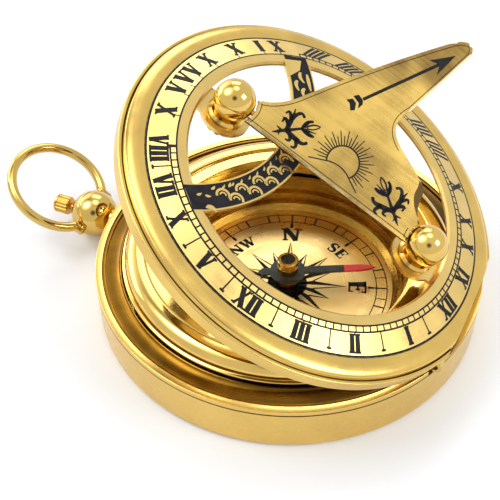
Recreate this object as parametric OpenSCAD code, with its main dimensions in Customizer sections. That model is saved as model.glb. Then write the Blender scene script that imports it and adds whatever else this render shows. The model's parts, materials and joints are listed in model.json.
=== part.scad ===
// Folding pocket sundial with a compass in its case, in millimetres.
// The case stands on z = 0 and its axis is Z. The hinge is on the +X side, the pendant on the -X side.
// Everything on the lid is written as it lies with the lid shut, and lid_pose() swings it open.

/* [Case] */
// Outer diameter of the case
case_d = 64; // [60:0.5:70]
// Height of the case rim above the table
case_h = 8.75; // [8.6:0.05:9.4]
// Width of the flat rim on top of the case wall
rim_w = 1.1; // [1:0.05:1.4]
// Thickness of the case floor
case_floor = 0.7; // [0.6:0.05:0.9]
// Radius of the rounded edge round the bottom
case_edge_r = 0.9; // [0.4:0.1:1.4]
// Width of the shelf inside the wall, under the seat ring
shelf_w = 0.7; // [0.5:0.05:0.9]
// Height of the seat ring from its shelf up to the rim
seat_t = 1.55; // [1.3:0.05:1.8]
// Width of the turned band between the case rim and the drum
band_w = 3.15; // [3:0.05:3.5]
// Height by which the turned band rises towards the drum
band_rise = 0.75; // [0.4:0.05:0.8]

/* [Hinge] */
// Distance from the outer wall in to the hinge axis
hinge_inset = 2.7; // [2.6:0.05:2.9]
// Height of the hinge axis above the case rim
hinge_rise = 0.22; // [0.1:0.02:0.3]
// Outer radius of the hinge barrel
barrel_r = 1.1; // [1:0.05:1.2]
// Radius of the hinge pin
pin_r = 0.6; // [0.5:0.05:0.7]
// Length of the middle knuckle, which belongs to the lid
mid_knuckle = 8.2; // [6:0.2:12]
// Distance from the hinge axis out to the flat cut on the lid
lid_flat = 0.6; // [0.5:0.05:0.7]
// Angle by which the lid stands open
lid_open = 28.5; // [15:0.5:60]

/* [Compass] */
// Height of the drum's crest above the case rim
drum_rise = 3.25; // [3:0.05:3.4]
// Width of the polished shoulder of the drum
shoulder_w = 2.55; // [2.3:0.05:2.8]
// Width of the crest on top of the shoulder
crest_w = 0.5; // [0.4:0.05:0.7]
// Width of the hollow between crest and ledge
cove_w = 0.95; // [0.8:0.05:1.1]
// Width of the flat ledge round the well
ledge_w = 2.3; // [2.1:0.05:2.4]
// Depth of the ledge below the crest
ledge_drop = 0.5; // [0.4:0.05:0.6]
// Thickness of the bowl floor
bowl_floor = 0.5; // [0.4:0.05:0.7]
// Thickness of the compass dial
dial_t = 0.3; // [0.2:0.05:0.4]
// Thickness of the compass glass
glass_t = 0.9; // [0.7:0.05:1.1]
// Depth of the glass seat below the case rim
glass_drop = 0.55; // [0.4:0.05:0.6]
// Gap between the needle's cap and the glass
cap_gap = 0.65; // [0.4:0.05:0.8]
// Length of the needle from its centre to the red tip
needle_l = 14.8; // [12:0.2:16]
// Length of the needle's other arm
tail_l = 5; // [4.6:0.1:9]
// Radius of the disc in the middle of the needle
needle_disc_r = 3; // [2.8:0.1:4.2]
// Bearing of the needle, counted from +X towards +Y
needle_angle = 28; // [0:1:90]

/* [Lid] */
// Gap between the shut lid and the case rim
lid_gap = 0.3; // [0.2:0.05:0.35]
// Gap between the shut lid's dial and the drum's crest
crest_gap = 0.3; // [0.25:0.05:0.5]
// Width of the lid's rounded bezel
bezel_w = 3.55; // [3.4:0.05:3.8]
// Thickness of the hour dial plate
hour_t = 0.9; // [0.8:0.05:1]
// Width of the sloping part of the hour dial
hour_w = 4.45; // [4.2:0.05:4.6]
// Rise of the hour dial for each millimetre inwards
hour_slope = 0.297; // [0.25:0.005:0.33]
// Width of the flat flange inside the hour dial
flange_w = 1.7; // [1.5:0.05:1.9]
// Height of the bezel's shoulder from its step up to the hour dial
step_drop = 1.05; // [0.9:0.05:1.2]
// Thickness of the bezel's wall
lid_wall = 1.05; // [0.9:0.05:1.1]
// Radius of the crossbar's edge that faces the pendant
bar_near_r = 22.3; // [21.5:0.1:23]
// Radius of the crossbar's edge that faces the hinge
bar_far_r = 27.5; // [27:0.1:28]
// Width of the crossbar in its middle
bar_w = 4.3; // [3.8:0.1:5]
// Distance from the lid's centre to the middle of the crossbar
bar_offset = 6.65; // [5.5:0.05:8]
// Thickness of the crossbar
bar_t = 0.7; // [0.5:0.05:0.9]

/* [Gnomon and posts] */
// Radius of the two balls that carry the gnomon
ball_r = 3.2; // [2.9:0.05:3.3]
// Height of the ball centres above the flange
ball_rise = 2.17; // [2.1:0.05:2.5]
// Distance from the flange's inner edge to a post's axis
post_inset = 4.1; // [4:0.05:4.4]
// Radius of the rounded lugs under the posts
lug_r = 4.1; // [3.7:0.1:4.2]
// Thickness of the lugs
lug_t = 0.6; // [0.5:0.05:0.65]
// Width of the riser that ties a lug to the flange
riser_w = 5.2; // [3:0.2:7]
// Radius of the polished collar under each ball
collar_r = 3; // [2.6:0.05:3.1]
// Radius of the nut under each lug
nut_r = 2.75; // [2.4:0.05:2.8]
// Height of the nut
nut_h = 1.7; // [1.2:0.05:1.8]
// Thickness of the gnomon plate
gnomon_t = 1.3; // [1.1:0.05:1.5]
// Distance from the pivot line up to the gnomon's tip
gnomon_l = 30.1; // [27:0.1:30.4]
// Depth of the plate below the pivot line
gnomon_foot = 1.7; // [1.3:0.05:1.8]
// Radius of the gnomon's pivot pins
gnomon_pin_r = 0.42; // [0.35:0.01:0.45]
// Tilt of the gnomon above the lid
gnomon_tilt = 28; // [5:1:85]

/* [Pendant] */
// Angle by which the pendant stands round from the line opposite the hinge
pendant_turn = 2; // [-4:0.5:4]
// Height of the pendant's axis above the table
pendant_z = 4.5; // [4.4:0.05:4.6]
// Radius of the pendant ball
pendant_r = 4.15; // [3.8:0.05:4.2]
// Length of the neck between the case wall and the ball
neck_l = 1.25; // [1.1:0.05:1.6]
// Radius of the neck
neck_r = 1.9; // [1.7:0.05:2.1]
// Radius of the neck's foot on the case wall
foot_r = 3; // [2.6:0.05:3.2]
// Radius of the bow ring to the middle of its wire
bow_r = 8.3; // [7.5:0.1:9]
// Radius of the bow's wire
bow_wire_r = 0.85; // [0.7:0.05:0.9]
// Angle by which the bow is lifted
bow_lift = 30; // [0:1:60]
// Radius of the push crown
crown_r = 1.65; // [1.6:0.05:1.9]
// Length of the push crown
crown_l = 3.1; // [2.6:0.1:3.6]
// Radius of the push rod
rod_r = 0.6; // [0.55:0.01:0.65]
// Travel of the push crown
push_travel = 0.7; // [0.4:0.05:0.7]

/* [Hidden] */
$fn = 72;

// Small clearances: a running fit, a joint line between fixed pieces, and the play round moving pieces.
run_fit = 0.04;
joint_line = 0.05;
play = 0.25;
// How far a cutter runs past the solid that it cuts
past = 1;

// Radii from the wall inwards
case_r = case_d / 2;
rim_in_r = case_r - rim_w;
shelf_r = rim_in_r - shelf_w;
seat_r = rim_in_r - joint_line;
seat_in_r = seat_r - band_w;
drum_gap = 0.2;
drum_r = seat_in_r - drum_gap;
crest_r = drum_r - shoulder_w;
crest_in_r = crest_r - crest_w;
ledge_r = crest_in_r - cove_w;
well_r = ledge_r - ledge_w;

// Heights of the compass, from the floor and the rim
shelf_z = case_h - seat_t;
drum_base_z = case_h + 0.45;
crest_z = case_h + drum_rise;
ledge_z = crest_z - ledge_drop;
glass_z = case_h - glass_drop;
bowl_z = case_floor;
dial_z = bowl_z + bowl_floor + dial_t;
glass_step = 1;
bowl_r = drum_r - 1;
bowl_in_r = well_r - glass_step;
dial_seat_r = bowl_in_r - 0.6;
dial_seat_h = 3.5;
dial_ring_w = 1.65;
dial_ring_h = 1.4;
dial_ring_top_w = 0.75;
dial_ring_lip_h = 0.5;
glass_ring_w = 0.85;
glass_ring_t = 0.4;

// Screws up through the floor, which hold the bowl and clamp the drum on it
screw_count = 3;
screw_r = 0.8;
screw_head_r = 1.5;
screw_bite = 1.2;
screw_circle_r = (bowl_r + well_r) / 2;

// Pivot and needle
post_r = 0.8;
post_foot_r = 1.6;
post_foot_h = 0.5;
post_tip_r = 0.12;
tip_in = 0.3;
jewel_h = 1.15;
jewel_z = glass_z - cap_gap - jewel_h;
tip_z = jewel_z + tip_in;
needle_t = 0.35;
needle_drop = 2.3;
needle_z = tip_z - needle_drop;
needle_w = 1.5;
cap_r = 1.75;
spigot_r = 1.3;
cap_bore_r = 1;
jewel_r = 1.25;
pit_r = 0.6;
pit_h = 0.5;

// Hinge
hinge_x = case_r - hinge_inset;
hinge_z = case_h + hinge_rise;
barrel_l = 2 * sqrt(pow(case_r, 2) - pow(hinge_x, 2));
pin_recess = 0.8;
knuckle_gap = 0.1;
swing_r = barrel_r + play;
stop_gap = 0.1;
notch_z = hinge_z - lid_flat - stop_gap;
leaf_t = 1.1;
leaf_l = mid_knuckle - 1.2;

// Lid heights and radii
lid_z = case_h + lid_gap;
hour_r = case_r - bezel_w - joint_line;
hour_in_r = hour_r - hour_w;
flange_r = hour_in_r - flange_w;
function hour_z(r) = crest_z + crest_gap + hour_t + hour_slope * (crest_r - r);
flange_z = hour_z(hour_in_r);
bezel_in_r = case_r - bezel_w;
bezel_top_z = hour_z(hour_r);
step_z = bezel_top_z - step_drop;
ledge_in_r = hour_r - 0.8;
wall_in_r = case_r - lid_wall;

// Posts, with the gnomon's pivot line through the ball centres
post_x = flange_r - post_inset;
ball_z = flange_z + ball_rise;
collar_t = 0.65;
collar_z = ball_z - sqrt(pow(ball_r, 2) - pow(1.75, 2));
lug_z = collar_z - collar_t;
stud_r = 1.2;
gnomon_end_r = ball_r + 0.3;
gnomon_pin_in = 2.5;
gnomon_pin_out = 1.6;

// Corners of the gnomon's outline, u along the pivot line and w up the plate
ear_w = 2.05;
ear_u = 15.2;
hip = [13.35, 5.6];
hip_top = [11.4, 7.8];
blade_root = [6.4, 9.55];
blade_waist = [4.25, 15.4];
blade_tip = [3.8, gnomon_l - 1.1];
left_hip = [-10.55, 6.4];

// Crossbar circles, whose centres lie on the pendant's side
bar_near_x = -bar_offset - bar_w / 2 - bar_near_r;
bar_far_x = -bar_offset + bar_w / 2 - bar_far_r;

// Pendant, with x counted outwards from the case axis
pendant_x = case_r + neck_l + pendant_r;
bow_reach = bow_r - 0.2;
bow_end_y = pendant_r + bow_wire_r + 0.02;
bow_end_angle = asin(bow_end_y / bow_r);
bow_end_x = bow_reach - bow_r * cos(bow_end_angle);
bow_pin_r = 0.5;
bow_pin_in = 1.6;
link_r = 0.6;
crown_x = pendant_x + pendant_r + push_travel + 0.15;
crown_bore = 1.4;
spring_wire_r = 0.13;
spring_room_r = rod_r + 0.7;
spring_r = (rod_r + spring_room_r) / 2;
spring_room_l = 3;
spring_x = pendant_x + pendant_r - spring_room_l;
spring_turns = 6;

// Catch on the inner end of the push rod, with its hook up through the seat ring
catch_w = 2.2;
block_in_x = shelf_r - 1.6;
block_out_x = shelf_r - 0.1;
block_h = 2.4;
stem_in_x = wall_in_r - 2.25;
stem_out_x = stem_in_x + 0.7;
hook_z = lid_z + 0.8;
hook_t = 0.45;
hook_out_x = wall_in_r - 0.55;
lip_in_x = hook_out_x + 0.1;
lip_z = lid_z + 0.2;
lip_t = 0.5;

// Points along a round stretch of an outline
function arc(x, y, rx, ry, from, to, steps) =
    [for (i = [0:steps]) let (a = from + (to - from) * i / steps) [x + rx * cos(a), y + ry * sin(a)]];

// Points along a curve that leaves a towards b and arrives at c from b
function bend(a, b, c, steps) =
    [for (i = [0:steps]) let (t = i / steps) a * pow(1 - t, 2) + b * 2 * t * (1 - t) + c * pow(t, 2)];

module lid_pose() {
    translate([hinge_x, 0, hinge_z])
        rotate([0, lid_open, 0])
            translate([-hinge_x, 0, -hinge_z])
                children();
}

module gnomon_pose() {
    lid_pose()
        translate([0, 0, ball_z])
            rotate([gnomon_tilt, 0, 0])
                children();
}

// Turns a piece so that its +X points out along the pendant
module pendant_pose() {
    rotate([0, 0, 180 + pendant_turn])
        translate([0, 0, pendant_z])
            children();
}

// A round bar along X from x0 to x1
module bar_x(x0, x1, r) {
    translate([x0, 0, 0])
        rotate([0, 90, 0])
            cylinder(r = r, h = x1 - x0);
}

// A round bar along the hinge axis from y0 to y1
module hinge_bar(y0, y1, r) {
    translate([hinge_x, y1, hinge_z])
        rotate([90, 0, 0])
            cylinder(r = r, h = y1 - y0);
}

module at_screws() {
    for (i = [0:screw_count - 1])
        rotate([0, 0, 360 * (i + 0.5) / screw_count])
            translate([screw_circle_r, 0, 0])
                children();
}

module at_posts() {
    for (side = [-1, 1])
        translate([side * post_x, 0, 0])
            children();
}

// The space that the lid's edge needs at the hinge
module hinge_notch() {
    translate([hinge_x - swing_r, -barrel_l / 2 - joint_line, notch_z])
        cube([case_r, barrel_l + 2 * joint_line, case_h]);
    hinge_bar(-mid_knuckle / 2 - knuckle_gap, mid_knuckle / 2 + knuckle_gap, swing_r);
}

module lower_case() {
    color("#d9b65c")
    difference() {
        rotate_extrude()
            polygon(concat(
                [[0, 0]],
                arc(case_r - case_edge_r, case_edge_r, case_edge_r, case_edge_r, -90, 0, 6),
                [[case_r, case_h], [rim_in_r, case_h], [rim_in_r, shelf_z], [shelf_r, shelf_z],
                    [shelf_r, case_floor], [0, case_floor]]
            ));
        hinge_notch();
        hinge_bar(-barrel_l / 2 - past, barrel_l / 2 + past, barrel_r);
        pendant_pose() bar_x(shelf_r - past, case_r + past, rod_r + run_fit);
        at_screws() screw_space();
    }
}

module seat_ring() {
    color("#c79a3e")
    difference() {
        rotate_extrude()
            polygon(concat(
                [[seat_in_r, shelf_z], [seat_r, shelf_z], [seat_r, case_h - 0.2], [seat_r - 0.55, case_h - 0.2],
                    [seat_r - 0.55, case_h - 0.5]],
                arc(seat_r - 0.6, case_h - 0.5 + band_rise, band_w - 0.8, band_rise, -90, -180, 6),
                [[seat_in_r, case_h - 0.5 + band_rise]]
            ));
        hinge_notch();
        hinge_bar(-barrel_l / 2 - past, barrel_l / 2 + past, barrel_r + joint_line);
        // The slot for the catch's stem runs in from the ring's inner edge
        rotate([0, 0, 180 + pendant_turn])
            translate([seat_in_r - past, -catch_w / 2 - play, shelf_z - past])
                cube([stem_out_x + joint_line - seat_in_r + past, catch_w + 2 * play, case_h]);
    }
}

module screw_space() {
    translate([0, 0, -past])
        cylinder(r = screw_r, h = glass_z + screw_bite + past);
    cylinder(r1 = screw_head_r, r2 = screw_r, h = case_floor);
}

module case_screws() {
    color("#b08a3a")
    at_screws()
        difference() {
            union() {
                cylinder(r = screw_r, h = glass_z + screw_bite);
                cylinder(r1 = screw_head_r, r2 = screw_r, h = case_floor);
            }
            translate([-screw_head_r - past, -0.15, -past])
                cube([2 * (screw_head_r + past), 0.3, past + 0.35]);
        }
}

module case_knuckles() {
    color("#d9b65c")
    for (side = [-1, 1])
        difference() {
            hinge_bar(min(side * barrel_l, side * (mid_knuckle + 2 * knuckle_gap)) / 2,
                max(side * barrel_l, side * (mid_knuckle + 2 * knuckle_gap)) / 2, barrel_r);
            hinge_bar(-barrel_l, barrel_l, pin_r);
        }
}

module hinge_pin() {
    color("#7a5a20")
    hinge_bar(-barrel_l / 2 + pin_recess, barrel_l / 2 - pin_recess, pin_r);
}

module compass_bowl() {
    color("#caa04a")
    difference() {
        translate([0, 0, bowl_z])
            cylinder(r = bowl_r, h = glass_z - bowl_z);
        translate([0, 0, bowl_z + bowl_floor])
            cylinder(r = dial_seat_r, h = glass_z);
        translate([0, 0, bowl_z + bowl_floor + dial_seat_h])
            cylinder(r = bowl_in_r, h = glass_z);
        translate([0, 0, -past])
            cylinder(r = post_r, h = bowl_z + bowl_floor + 2 * past);
        at_screws() screw_space();
    }
}

module compass_bezel() {
    color("#e8c878")
    difference() {
        rotate_extrude()
            polygon(concat(
                [[well_r, glass_z], [bowl_r, glass_z], [bowl_r, drum_base_z], [drum_r - 0.2, drum_base_z]],
                arc(drum_r - 0.25, drum_base_z + 0.25, 0.25, 0.25, -70, 80, 6),
                arc(crest_r, drum_base_z + 0.6, shoulder_w - 0.4, crest_z - drum_base_z - 0.6, 0, 90, 9),
                arc(crest_in_r, ledge_z + 0.02, cove_w, ledge_drop - 0.02, 90, 180, 5),
                [[ledge_r, ledge_z], [well_r + 0.15, ledge_z], [well_r, ledge_z - 0.15]]
            ));
        at_screws() screw_space();
    }
}

module compass_dial() {
    color("#d8c48c")
    translate([0, 0, dial_z - dial_t])
        difference() {
            cylinder(r = dial_seat_r - joint_line, h = dial_t);
            translate([0, 0, -past])
                cylinder(r = post_r + joint_line, h = dial_t + 2 * past);
        }
}

module dial_ring() {
    ring_r = dial_seat_r - joint_line;
    color("#a07830")
    translate([0, 0, dial_z])
        rotate_extrude()
            polygon([[ring_r - dial_ring_w, 0], [ring_r, 0], [ring_r, dial_ring_h],
                [ring_r - dial_ring_top_w, dial_ring_h], [ring_r - dial_ring_w, dial_ring_lip_h]]);
}

module compass_glass() {
    color("#dfeeee", 0.35)
    translate([0, 0, glass_z])
        cylinder(r = well_r - joint_line, h = glass_t);
}

module glass_ring() {
    color("#b98f3f")
    translate([0, 0, glass_z + glass_t])
        difference() {
            cylinder(r = well_r - joint_line, h = glass_ring_t);
            translate([0, 0, -past])
                cylinder(r = well_r - joint_line - glass_ring_w, h = glass_ring_t + 2 * past);
        }
}

module pivot_post() {
    color("#b08a3a")
    rotate_extrude()
        polygon([[0, bowl_z], [post_r, bowl_z], [post_r, dial_z], [post_foot_r, dial_z],
            [post_foot_r, dial_z + post_foot_h], [post_r, dial_z + post_foot_h], [post_r, needle_z - play],
            [post_tip_r, tip_z], [0, tip_z]]);
}

module compass_needle() {
    color("#2b2b30")
    rotate([0, 0, needle_angle])
        translate([0, 0, needle_z])
            difference() {
                union() {
                    cylinder(r = needle_disc_r, h = needle_t);
                    linear_extrude(needle_t)
                        polygon([[-tail_l, -needle_w / 2], [needle_l - needle_w, -needle_w / 2], [needle_l, 0],
                            [needle_l - needle_w, needle_w / 2], [-tail_l, needle_w / 2]]);
                }
                translate([0, 0, -past])
                    cylinder(r = spigot_r, h = needle_t + 2 * past);
            }
}

module needle_cap() {
    color("#c9a040")
    rotate_extrude()
        polygon([[cap_bore_r, needle_z], [spigot_r, needle_z], [spigot_r, needle_z + needle_t],
            [cap_r, needle_z + needle_t], [cap_r, tip_z - 0.6], [cap_r - 0.2, tip_z - 0.5],
            [cap_r - 0.2, tip_z - 0.35], [cap_r, tip_z - 0.25], [cap_r, jewel_z + jewel_h - 0.25],
            [cap_r - 0.15, jewel_z + jewel_h - 0.1], [jewel_r, jewel_z + jewel_h - 0.1], [jewel_r, jewel_z],
            [cap_bore_r, jewel_z]]);
}

module cap_jewel() {
    color("#1c1c20")
    rotate_extrude()
        polygon([[0, jewel_z + pit_h], [pit_r, jewel_z], [jewel_r, jewel_z], [jewel_r, jewel_z + jewel_h - 0.1],
            [jewel_r - 0.1, jewel_z + jewel_h], [0, jewel_z + jewel_h]]);
}

module lid_bezel() {
    color("#e3c46e")
    lid_pose()
        difference() {
            union() {
                rotate_extrude()
                    polygon(concat(
                        [[wall_in_r, lid_z], [case_r, lid_z], [case_r, step_z - 0.15], [case_r - 0.15, step_z],
                            [case_r - 0.55, step_z], [case_r - 0.6, step_z + 0.15]],
                        arc(bezel_in_r + 0.25, step_z + 0.35, bezel_w - 1.05, step_drop - 0.4, 0, 90, 7),
                        [[bezel_in_r, bezel_top_z - 0.05], [bezel_in_r, hour_z(bezel_in_r) - hour_t],
                            [ledge_in_r, hour_z(ledge_in_r) - hour_t], [ledge_in_r, step_z],
                            [bezel_in_r, step_z - 0.1], [wall_in_r - 0.65, step_z - 0.3],
                            [wall_in_r, step_z - 0.75]]
                    ));
                // The lip that the catch hooks over
                rotate([0, 0, 180 + pendant_turn])
                    translate([lip_in_x, -catch_w / 2, lip_z])
                        cube([wall_in_r + lid_wall / 2 - lip_in_x, catch_w, lip_t]);
            }
            translate([hinge_x + lid_flat, -case_r, 0])
                cube([case_r, case_d, ball_z]);
            hinge_bar(-barrel_l / 2 - play, barrel_l / 2 + play, swing_r);
            knuckle_leaf();
        }
}

// The leaf that joins the middle knuckle to the underside of the bezel
module knuckle_leaf() {
    translate([hinge_x + lid_flat - leaf_t, -leaf_l / 2, hinge_z])
        cube([leaf_t, leaf_l, step_z + 0.3 - hinge_z]);
}

module lid_knuckle() {
    color("#d9b65c")
    lid_pose()
        difference() {
            union() {
                hinge_bar(-mid_knuckle / 2, mid_knuckle / 2, barrel_r);
                knuckle_leaf();
            }
            hinge_bar(-mid_knuckle, mid_knuckle, pin_r + run_fit);
        }
}

module hour_dial() {
    color("#ecd58c")
    lid_pose()
        difference() {
            union() {
                rotate_extrude()
                    polygon([[hour_r, hour_z(hour_r)], [hour_in_r, flange_z], [flange_r + 0.35, flange_z],
                        [flange_r, flange_z - 0.3], [flange_r, flange_z - hour_t + 0.25],
                        [flange_r + 0.3, flange_z - hour_t], [hour_in_r, flange_z - hour_t],
                        [hour_r, hour_z(hour_r) - hour_t]]);
                crossbar();
                for (side = [0, 180])
                    rotate([0, 0, side])
                        lug();
            }
            at_posts() cylinder(r = stud_r, h = ball_z);
        }
}

// The crescent bar, between two circles, with its ends inside the flange
module crossbar() {
    translate([0, 0, flange_z - bar_t])
        linear_extrude(bar_t - joint_line)
            intersection() {
                circle(r = flange_r + flange_w / 2);
                difference() {
                    translate([bar_far_x, 0]) circle(r = bar_far_r);
                    translate([bar_near_x, 0]) circle(r = bar_near_r);
                }
            }
}

// A rounded lug below the flange, and the riser that ties it to the flange's underside
module lug() {
    translate([0, 0, lug_z - lug_t]) {
        translate([post_x, 0, 0])
            cylinder(r = lug_r, h = lug_t);
        intersection() {
            cylinder(r = flange_r + 1, h = flange_z - hour_t / 2 - lug_z + lug_t);
            difference() {
                translate([post_x, -riser_w / 2, 0])
                    cube([flange_r, riser_w, ball_z]);
                translate([0, 0, lug_t])
                    cylinder(r = flange_r + 0.2, h = ball_z);
            }
        }
    }
}

module gnomon_posts() {
    color("#f0d488")
    lid_pose()
        at_posts()
            difference() {
                union() {
                    translate([0, 0, ball_z]) sphere(r = ball_r);
                    translate([0, 0, lug_z - lug_t - nut_h])
                        cylinder(r = stud_r, h = ball_z - lug_z + lug_t + nut_h);
                }
                translate([0, 0, ball_z])
                    pivot_bores();
            }
}

// Bores in each ball from both sides, so that either ball fits either post
module pivot_bores() {
    for (side = [0, 180])
        rotate([0, 0, side])
            bar_x(ball_r - gnomon_pin_out - play, ball_r + past, gnomon_pin_r + run_fit);
}

module post_collars() {
    color("#e6d9b0")
    lid_pose()
        at_posts()
            difference() {
                translate([0, 0, lug_z])
                    rotate_extrude()
                        polygon([[stud_r, 0], [collar_r - 0.35, 0], [collar_r, 0.15], [collar_r, 0.35],
                            [collar_r - 0.4, collar_t], [stud_r, collar_t]]);
                translate([0, 0, ball_z]) sphere(r = ball_r);
            }
}

module post_nuts() {
    color("#c89a3c")
    lid_pose()
        at_posts()
            translate([0, 0, lug_z - lug_t - nut_h])
                difference() {
                    cylinder(r = nut_r, h = nut_h);
                    translate([0, 0, -past])
                        cylinder(r = stud_r, h = nut_h + 2 * past);
                    for (i = [0:11])
                        rotate([0, 0, 30 * i])
                            translate([nut_r + 0.25, 0, -past])
                                cylinder(r = 0.5, h = nut_h + 2 * past);
                }
}

// Outline of the gnomon: u along the pivot line, w up the plate
module gnomon_outline() {
    half = post_x;
    polygon(concat(
        [[-half, -gnomon_foot], [half, -gnomon_foot], [half, ear_w]],
        bend([ear_u, ear_w], hip - [-0.35, 2.2], hip, 6),
        bend(hip, hip_top + [1.8, -0.5], hip_top, 5),
        bend(blade_root, blade_root + [-4.1, 1.75], blade_waist, 9),
        bend(blade_tip + [3.2, -0.3], blade_tip + [2.5, 2.4], blade_tip, 8),
        bend(blade_tip, left_hip + [6.75, 12], left_hip, 6),
        bend(left_hip, left_hip - [1.95, 3.3], [-ear_u, ear_w], 6),
        [[-half, ear_w]]
    ));
}

module gnomon_plate() {
    color("#dcc070")
    gnomon_pose()
        difference() {
            translate([0, 0, -gnomon_t / 2])
                linear_extrude(gnomon_t)
                    gnomon_outline();
            for (side = [-1, 1])
                translate([side * post_x, 0, 0])
                    sphere(r = gnomon_end_r);
            pivot_pins();
        }
}

module pivot_pins() {
    for (side = [0, 180])
        rotate([0, 0, side])
            bar_x(post_x - gnomon_end_r - gnomon_pin_in, post_x - ball_r + gnomon_pin_out, gnomon_pin_r);
}

module gnomon_pivots() {
    color("#b98f3f")
    gnomon_pose() pivot_pins();
}

module pendant_neck() {
    color("#c89a3c")
    difference() {
        pendant_pose() {
            bar_x(case_r - past, case_r + 0.8, foot_r);
            bar_x(case_r, pendant_x - pendant_r + 0.9, neck_r);
        }
        cylinder(r = case_r, h = 2 * case_h, $fn = 360);
        pendant_pose() bar_x(case_r - 2 * past, pendant_x, rod_r + run_fit);
    }
}

module pendant_ball() {
    color("#e0bc60")
    pendant_pose()
        difference() {
            translate([pendant_x, 0, 0]) sphere(r = pendant_r);
            bar_x(case_r, pendant_x - pendant_r + 0.9, neck_r);
            bar_x(case_r, pendant_x + 2 * pendant_r, rod_r + run_fit);
            bar_x(spring_x, pendant_x + 2 * pendant_r, spring_room_r);
            translate([pendant_x, 0, 0])
                bow_pins(bow_pin_r + run_fit, bow_pin_in + rod_r - play, pendant_r + past);
        }
}

// The two ends of the bow, on one line through the ball
module bow_pins(r, y0, y1) {
    for (side = [0, 180])
        rotate([0, 0, side])
            translate([0, y1, 0])
                rotate([90, 0, 0])
                    cylinder(r = r, h = y1 - y0);
}

module bow_ring() {
    color("#dcb44c")
    pendant_pose()
        translate([pendant_x, 0, 0])
            rotate([0, -bow_lift, 0]) {
                difference() {
                    translate([bow_reach, 0, 0])
                        rotate_extrude()
                            translate([bow_r, 0]) circle(r = bow_wire_r);
                    translate([-bow_r, -bow_end_y, -bow_r])
                        cube([2 * bow_r, 2 * bow_end_y, 2 * bow_r]);
                }
                bow_pins(bow_pin_r, bow_pin_in + rod_r, bow_end_y);
                for (side = [-1, 1]) {
                    translate([bow_end_x, side * bow_end_y, 0]) sphere(r = bow_wire_r);
                    translate([0, side * bow_end_y, 0]) {
                        bar_x(0, bow_end_x, link_r);
                        sphere(r = link_r);
                    }
                }
            }
}

module push_crown() {
    color("#b98f3f")
    pendant_pose()
        difference() {
            translate([crown_x, 0, 0])
                rotate([0, 90, 0])
                    rotate_extrude()
                        polygon(concat(
                            [[0, 0], [crown_r - 0.2, 0], [crown_r, 0.2]],
                            arc(0, crown_l - 0.7, crown_r, 0.7, 0, 90, 6)
                        ));
            for (i = [0:17])
                rotate([20 * i, 0, 0])
                    translate([0, crown_r + 0.12, 0])
                        bar_x(crown_x - past, crown_x + crown_l - 0.8, 0.24);
            bar_x(crown_x - past, crown_x + crown_bore, rod_r);
        }
}

module push_rod() {
    color("#c8a860")
    pendant_pose() bar_x(block_in_x + 0.4, crown_x + crown_bore, rod_r);
}

// The coil behind the crown, drawn at its pressed length in the ball's outer bore
module crown_spring() {
    sides = 6;
    rings = 10 * spring_turns;
    pitch = (spring_room_l - 4 * spring_wire_r) / spring_turns;
    points = [for (i = [0:rings]) let (a = 36 * i)
        for (j = [0:sides - 1]) let (b = 360 * j / sides, r = spring_r + spring_wire_r * cos(b))
            [spring_x + 2 * spring_wire_r + pitch * i / 10 + spring_wire_r * sin(b), r * cos(a), r * sin(a)]];
    side_faces = [for (i = [0:rings - 1]) for (j = [0:sides - 1]) let (k = (j + 1) % sides)
        for (half = [0, 1])
            half == 0 ? [i * sides + j, i * sides + k, (i + 1) * sides + k]
                : [i * sides + j, (i + 1) * sides + k, (i + 1) * sides + j]];
    end_faces = [[for (j = [sides - 1:-1:0]) j], [for (j = [0:sides - 1]) rings * sides + j]];
    color("#909090")
    pendant_pose() polyhedron(points, concat(side_faces, end_faces));
}

module lid_catch() {
    color("#8a6a2a")
    difference() {
        rotate([0, 0, 180 + pendant_turn]) {
            translate([block_in_x, -catch_w / 2 - 0.5, pendant_z - block_h / 2])
                cube([block_out_x - block_in_x, catch_w + 1, block_h]);
            translate([stem_in_x, -catch_w / 2, pendant_z])
                cube([stem_out_x - stem_in_x, catch_w, hook_z + hook_t - pendant_z]);
            translate([stem_in_x, -catch_w / 2, hook_z])
                cube([hook_out_x - stem_in_x, catch_w, hook_t]);
        }
        pendant_pose() bar_x(block_in_x + 0.4, case_r, rod_r);
    }
}

lower_case();
seat_ring();
case_screws();
case_knuckles();
hinge_pin();
compass_bowl();
compass_bezel();
compass_dial();
dial_ring();
compass_glass();
glass_ring();
pivot_post();
compass_needle();
needle_cap();
cap_jewel();
lid_bezel();
lid_knuckle();
hour_dial();
gnomon_posts();
post_collars();
post_nuts();
gnomon_plate();
gnomon_pivots();
pendant_neck();
pendant_ball();
bow_ring();
push_crown();
push_rod();
crown_spring();
lid_catch();
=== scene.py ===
"""Dresses a folding pocket sundial with a compass in its case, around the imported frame."""
import json
import math
from types import SimpleNamespace

import bmesh
import bpy
from bpy.props import FloatProperty, FloatVectorProperty, PointerProperty
from bpy.types import Operator, Panel, PropertyGroup
from mathutils import Matrix, Vector


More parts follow.
